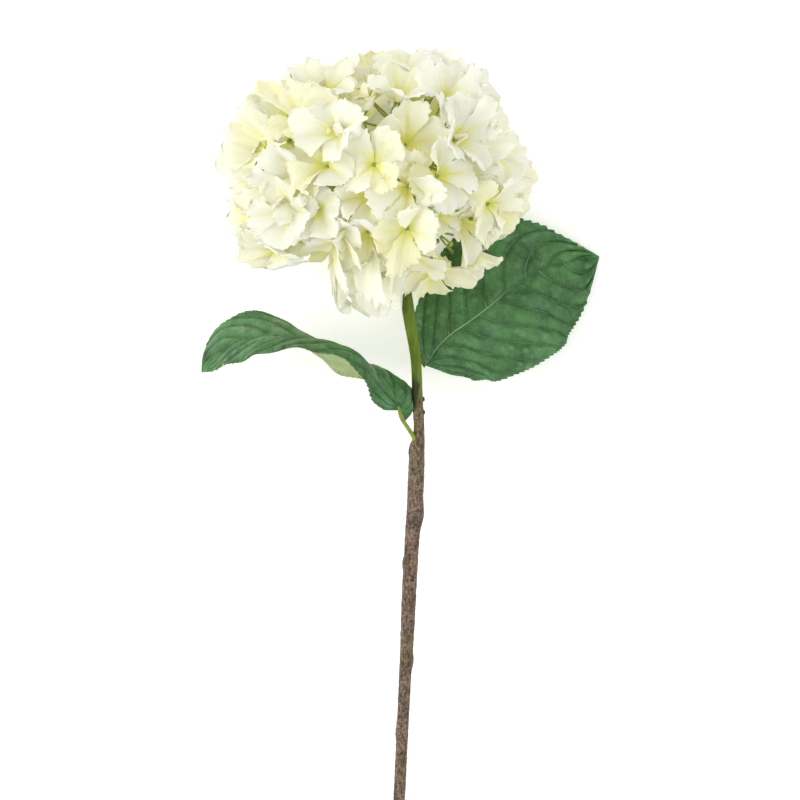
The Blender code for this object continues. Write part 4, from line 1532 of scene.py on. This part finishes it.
    def make_petals(self) -> list[Petal]:
        """Four petals for each floret, each with its own crease, ruffle and curl."""
        draw = random.Random(self.look_seed)
        petals = []
        for number, floret in enumerate(self.florets + self.fillers):
            level, tint = draw.random(), draw.uniform(-0.16, 0.12) + self.warmth(floret.eye)
            if number >= len(self.florets):
                level -= 1.6
            for k in range(4):
                petals.append(
                    Petal(
                        floret=floret,
                        heading=floret.roll + math.radians(90 * k + draw.uniform(-7, 7)),
                        rank=level + draw.uniform(-0.25, 0.25),
                        crease=math.radians(draw.choice((-20, 8, 24, 36, 48)) + draw.uniform(-5, 5)),
                        ruffle=draw.uniform(0.05, 0.14),
                        waves=draw.uniform(1.3, 2.8),
                        phase=draw.uniform(0.0, 2 * math.pi),
                        curl=draw.uniform(-0.40, 0.22),
                        breadth=draw.uniform(1.0, 1.2),
                        tint=tint + draw.choice((-0.08, 0.0, 0.0, 0.28)),
                        lean=draw.uniform(-0.22, 0.26),
                        twist=draw.uniform(-0.4, 0.4),
                        pleat=draw.uniform(0.012, 0.035),
                        length=self.petal_length,
                        spread=self.petal_spread,
                        rise=self.cup_rise,
                    )
                )
                self.shorten(petals[-1])
        whole = [petal for petal in petals if petal.length > self.least_length * self.petal_length]
        return [petal for petal in whole if not self.in_opening(petal.eye)]

    def depth_in_head(self, places: np.ndarray) -> np.ndarray:
        """1 deep in the head and 0 at its surface."""
        own = (places - np.array(self.middle)) @ np.array(self.turn)
        share = np.linalg.norm(own / np.array(self.axes), axis=1)
        return 1 - eased(share, 0.62, 0.98)

    def resting_on(self, leaf: bpy.types.Object) -> Callable[[float, float], float]:
        """How low a petal may lie at any place: on the floor, or on the leaf that is under it."""
        bpy.context.view_layer.update()
        tree = BVHTree.FromObject(leaf, bpy.context.evaluated_depsgraph_get())

        def rest_height(x: float, y: float) -> float:
            """Lowest height of a petal's underside at a place."""
            low = 0.0
            margin = self.leaf_margin
            for off_x, off_y in ((0, 0), (margin, 0), (-margin, 0), (0, margin), (0, -margin)):
                hit = tree.ray_cast(Vector((x + off_x, y + off_y, 1.0)), Vector((0, 0, -1)))[0]
                if hit:
                    low = max(low, hit.z + margin)
            return low

        return rest_height

    def build_petals(self, petal_skin: bpy.types.Material, leaf: bpy.types.Object) -> list[bpy.types.Object]:
        """Shapes every petal from one grid and lays them over and under each other.

        Args:
            petal_skin: The petals' material.
            leaf: The leaf that some petals lie on.

        Returns:
            The petals of the upper and of the lower florets, as two pieces.
        """
        models = {
            False: unit_grid("petal_model", *self.petal_faces),
            True: unit_grid("filler_model", *self.filler_faces),
        }
        draw = np.random.default_rng(self.look_seed)
        rest_height = self.resting_on(leaf)
        halves: dict[str, list[bpy.types.Object]] = {"upper": [], "lower": []}
        for petal in self.petals:
            model, across, along = models[petal.floret in self.fillers]
            margin = (np.abs(across) > 1 - 1e-6) | (along > 1 - 1e-6)
            fringe = np.where(margin, draw.uniform(-0.08, 0.05, len(across)), 0.0)
            places = petal.shaped(across, along, fringe)
            for over in sorted(self.petals, key=lambda other: -other.rank):
                if over.rank <= petal.rank or over.floret is petal.floret:
                    continue
                if np.linalg.norm(over.eye - petal.eye) < 2.1 * self.petal_length:
                    places = petal.pressed_under(places, over, self.petal_gap)
            places = self.in_outline(places)
            for index, place in enumerate(places):
                if place[2] < self.low_level:
                    low = rest_height(place[0], place[1]) + (0.4 + 1.6 * max(petal.rank, 0.0)) * MM
                    places[index, 2] = max(place[2], low)
            piece = copy_of(model)
            set_points(piece, places)
            # The depth in the head drives the petals' painted shade and painted glow
            set_attribute(piece, "depth", self.depth_in_head(places))
            set_attribute(piece, "tint", np.full(len(across), PLAIN_TINT + petal.tint))
            halves["upper" if petal.eye[2] > self.middle.z else "lower"].append(piece)
        for model, _, _ in models.values():
            discard(model)
        pieces = []
        for half, parts in halves.items():
            piece = joined(parts, f"petals_{half}")
            wear(piece, petal_skin)
            apply_modifier(piece, "SOLIDIFY", thickness=self.petal_thickness, offset=0.0)
            smooth(piece, 70.0)
            pieces.append(finish_piece(piece, ["flower_head"] if half == "upper" else []))
        return pieces

    def branch_ends(self) -> list[Vector]:
        """Where the head's branches end, spread evenly about its middle."""
        golden = math.pi * (3 - math.sqrt(5))
        ends = []
        for k in range(self.branch_count):
            height = 1 - 2 * (k + 0.5) / self.branch_count
            radius = math.sqrt(1 - height * height)
            direction = Vector((radius * math.cos(golden * k), height, radius * math.sin(golden * k)))
            ends.append(self.middle + self.turn @ self.eye_towards(direction, self.branch_reach))
        return ends

    def curved_line(self, start: Vector, end: Vector, arrive: Vector, sag: Vector, rows: int) -> np.ndarray:
        """Line for a stalk that leaves its branch and turns to arrive along a direction.

        Args:
            start: Where it starts.
            end: Where it ends.
            arrive: Its direction at the end.
            sag: How far its middle strays.
            rows: Rows of the stalk's model.

        Returns:
            One place for each row, the poles at the ends.
        """
        length = (end - start).length
        first = start.lerp(end, 0.35) + sag
        second = end - arrive * length * 0.35 + sag * 0.5
        share = pole_shares(rows)[:, None]
        points = [np.array(point)[None, :] for point in (start, first, second, end)]
        weights = ((1 - share) ** 3, 3 * share * (1 - share) ** 2, 3 * share**2 * (1 - share), share**3)
        return sum(weight * point for weight, point in zip(weights, points))

    def bud_model(self) -> bpy.types.Object:
        """A floret's eye: a small bud with four lobes pressed together."""
        deselect_all()
        bpy.ops.mesh.primitive_uv_sphere_add(segments=16, ring_count=10, radius=1.0)
        bud = bpy.context.object
        places = points_of(bud)
        turn = np.arctan2(places[:, 1], places[:, 0])
        top = eased(places[:, 2], -0.1, 0.9)
        places[:, :2] *= (1 - 0.16 * top * np.abs(np.cos(2 * turn)) ** 6)[:, None]
        places[:, 2] = places[:, 2] * 0.85 - 0.28 * eased(places[:, 2], 0.75, 1.0)
        set_points(bud, places)
        return bud

    def build_stalks(self, green: bpy.types.Material, eye_skin: bpy.types.Material) -> list[bpy.types.Object]:
        """Branches, pedicels and the florets' eyes.

        Args:
            green: Material of the branches and the pedicels.
            eye_skin: Material of the eyes.

        Returns:
            The stalks and the eyes, as two pieces.
        """
        draw = random.Random(self.look_seed + 1)
        start, ends = Vector(self.stem_tip) * MM, self.branch_ends()
        reference = np.array([0.2, 0.3, 0.93])
        branch, pedicel = TubeModel("branch_model", 10, 16), TubeModel("pedicel_model", 7, 14)
        bud = self.bud_model()
        stalks, eyes = [], []

        for end in ends:
            arrive, sag = (end - self.middle).normalized(), scattered(draw) * self.branch_sag
            line = self.curved_line(start, end, arrive, sag, branch.rows)
            share = np.linspace(0, 1, branch.rows + 1)
            radii = self.branch_radius * (1.25 - 0.4 * share + 0.7 * eased(share, 0.8, 1.0))
            stalks.append(branch.bent(line, radii, reference))
        for floret in self.florets + self.fillers:
            nearest = min(ends, key=lambda end: (end - floret.eye).length)
            sag = scattered(draw) * self.pedicel_sag
            line = self.curved_line(nearest, floret.eye, floret.facing, sag, pedicel.rows)
            share = np.linspace(0, 1, pedicel.rows + 1)
            radii = self.pedicel_radius * (1.1 - 0.2 * share + 1.0 * eased(share, 0.86, 1.0))
            stalks.append(pedicel.bent(line, radii, reference))
            eye = copy_of(bud)
            size = self.eye_radius * draw.uniform(0.85, 1.1)
            turned = floret.facing.to_track_quat("Z", "Y").to_matrix() @ Matrix.Rotation(floret.roll, 3, "Z")
            places = points_of(eye) * size @ np.array(turned).T
            set_points(eye, places + np.array(floret.eye + floret.facing * 1.2 * MM))
            eyes.append(eye)
        for model in (branch.item, pedicel.item, bud):
            discard(model)
        stalk_piece, eye_piece = joined(stalks, "pedicels"), joined(eyes, "floret_eyes")
        for piece in (stalk_piece, eye_piece):
            set_points(piece, self.in_outline(points_of(piece)))
        wear(stalk_piece, green)
        wear(eye_piece, eye_skin)
        for piece in (stalk_piece, eye_piece):
            smooth(piece, 60.0)
            finish_piece(piece)
        return [stalk_piece, eye_piece]


# The studio


@dataclass
class Studio:
    """The pale floor, the soft lights and the camera above."""

    camera_place: Place = (-3.0 * MM, 42.0 * MM, 1502.0 * MM)
    lens: float = 100.0
    sensor: float = 36.0
    floor_size: float = 6.0
    floor_drop: float = 0.2 * MM
    floor_colour: Colour = (0.93, 0.93, 0.925)
    floor_fleck: Colour = (0.95, 0.95, 0.945)
    floor_glow: float = 0.26
    ambient: float = 0.86

    def floor(self) -> None:
        """A seamless floor of matt white board."""
        deselect_all()
        bpy.ops.mesh.primitive_plane_add(size=self.floor_size, location=(0, 0, -self.floor_drop))
        board = bpy.context.object
        board.name = "floor"
        material, sheet, shader = new_material(
            "floor_board", Roughness=0.9, Specular_IOR_Level=0.1, Emission_Color=(1.0, 1.0, 1.0, 1.0),
            Emission_Strength=self.floor_glow,
        )
        tone = sheet.mix(sheet.noise(sheet.place(), 400.0, 2.0), self.floor_colour, self.floor_fleck)
        sheet.link(tone, shader, "Base Color")
        wear(board, material)

    def light(self, name: str, place: Place, size: float, power: float, colour: Colour = (1, 1, 1)) -> None:
        """A square soft light that faces the flower."""
        lamp = bpy.data.lights.new(name, "AREA")
        lamp.shape, lamp.size, lamp.energy, lamp.color = "SQUARE", size, power, colour
        item = bpy.data.objects.new(name, lamp)
        item.location = place
        item.rotation_euler = (-Vector(place)).to_track_quat("-Z", "Y").to_euler()
        bpy.context.scene.collection.objects.link(item)

    def camera(self) -> None:
        """The camera that looks straight down, with the stem towards the picture's foot."""
        data = bpy.data.cameras.new("camera")
        data.lens, data.sensor_width, data.sensor_fit = self.lens, self.sensor, "HORIZONTAL"
        data.clip_end = 20.0
        item = bpy.data.objects.new("camera", data)
        item.location = self.camera_place
        bpy.context.scene.collection.objects.link(item)
        bpy.context.scene.camera = item

    def build(self) -> None:
        """Sets up the floor, the sky, the lights and the camera."""
        self.floor()
        world = bpy.data.worlds.new("sky")
        world.use_nodes = True
        background = world.node_tree.nodes["Background"]
        background.inputs["Color"].default_value = (1.0, 1.0, 1.0, 1.0)
        background.inputs["Strength"].default_value = self.ambient
        bpy.context.scene.world = world
        self.light("key", (-1.3, 0.1, 1.2), 1.0, 13.0)
        self.light("fill", (1.3, 0.1, 1.2), 0.9, 3.5, (0.86, 0.95, 1.0))
        self.camera()
        bpy.context.scene.view_settings.view_transform = "Standard"


def main() -> None:
    """Builds the whole flower and its studio, in order."""
    logging.basicConfig(level=logging.INFO, format="%(message)s")
    groups = SharedGroups(mottle=mottle_group(), grain=grain_group())
    veins = VeinPlan()
    petal_skin = PetalFinish().build(groups)
    # Leaf face: the groove colour is painted shade, the puff and sheen colours painted highlights. Leaf back:
    # the puff colour is a painted highlight, groove and sheen are lighter vein and olive tones
    face = LeafFinish(
        "leaf_face", dark=(0.012, 0.082, 0.014), light=(0.084, 0.250, 0.070), vein=(0.22, 0.40, 0.17),
        midrib=(0.40, 0.57, 0.28), groove_and_painted_shade=(0.018, 0.075, 0.017), painted_puff_highlight=(0.175, 0.365, 0.185), painted_puff_highlight_share=0.75,
        tone_patch_and_painted_sheen=(0.15, 0.32, 0.18), tone_patch_and_painted_sheen_share=0.42,
        groove_and_painted_shade_share=0.55, net_share=0.13, roughness=0.32, gloss=0.45, relief=0.0008,
    ).build(groups, veins)
    back = LeafFinish(
        "leaf_back", dark=(0.27, 0.37, 0.15), light=(0.43, 0.53, 0.26), vein=(0.52, 0.61, 0.31),
        midrib=(0.44, 0.50, 0.14), groove_and_painted_shade=(0.45, 0.55, 0.27), painted_puff_highlight=(0.46, 0.56, 0.30), painted_puff_highlight_share=0.3,
        tone_patch_and_painted_sheen=(0.36, 0.42, 0.12), tone_patch_and_painted_sheen_share=0.5,
        groove_and_painted_shade_share=0.3, net_share=0.45,
        roughness=0.6, gloss=0.3, relief=0.0006,
    ).build(groups, veins)
    petiole_skin = StalkFinish("petiole", dark=(0.12, 0.17, 0.008), light=(0.31, 0.36, 0.045)).build(groups)
    pedicel_skin = StalkFinish("pedicel", dark=(0.33, 0.44, 0.06), light=(0.52, 0.60, 0.16)).build(groups)
    eye_skin = StalkFinish("floret_eye", dark=(0.14, 0.24, 0.03), light=(0.30, 0.42, 0.09)).build(groups)
    Studio().build()
    stem = Stem()
    stem.build(BarkFinish().build(groups))
    stem.build_buds(StalkFinish("bud", dark=(0.016, 0.012, 0.005), light=(0.06, 0.05, 0.015)).build(groups))
    stalk_model = TubeModel("petiole_model", 14, 60)
    under_head = right_leaf().build(stem, face, back, petiole_skin, stalk_model)
    left_leaf().build(stem, face, back, petiole_skin, stalk_model)
    discard(stalk_model.item)
    head = FlowerHead()
    head.build_petals(petal_skin, under_head)
    head.build_stalks(pedicel_skin, eye_skin)


if __name__ == "__main__":
    main()
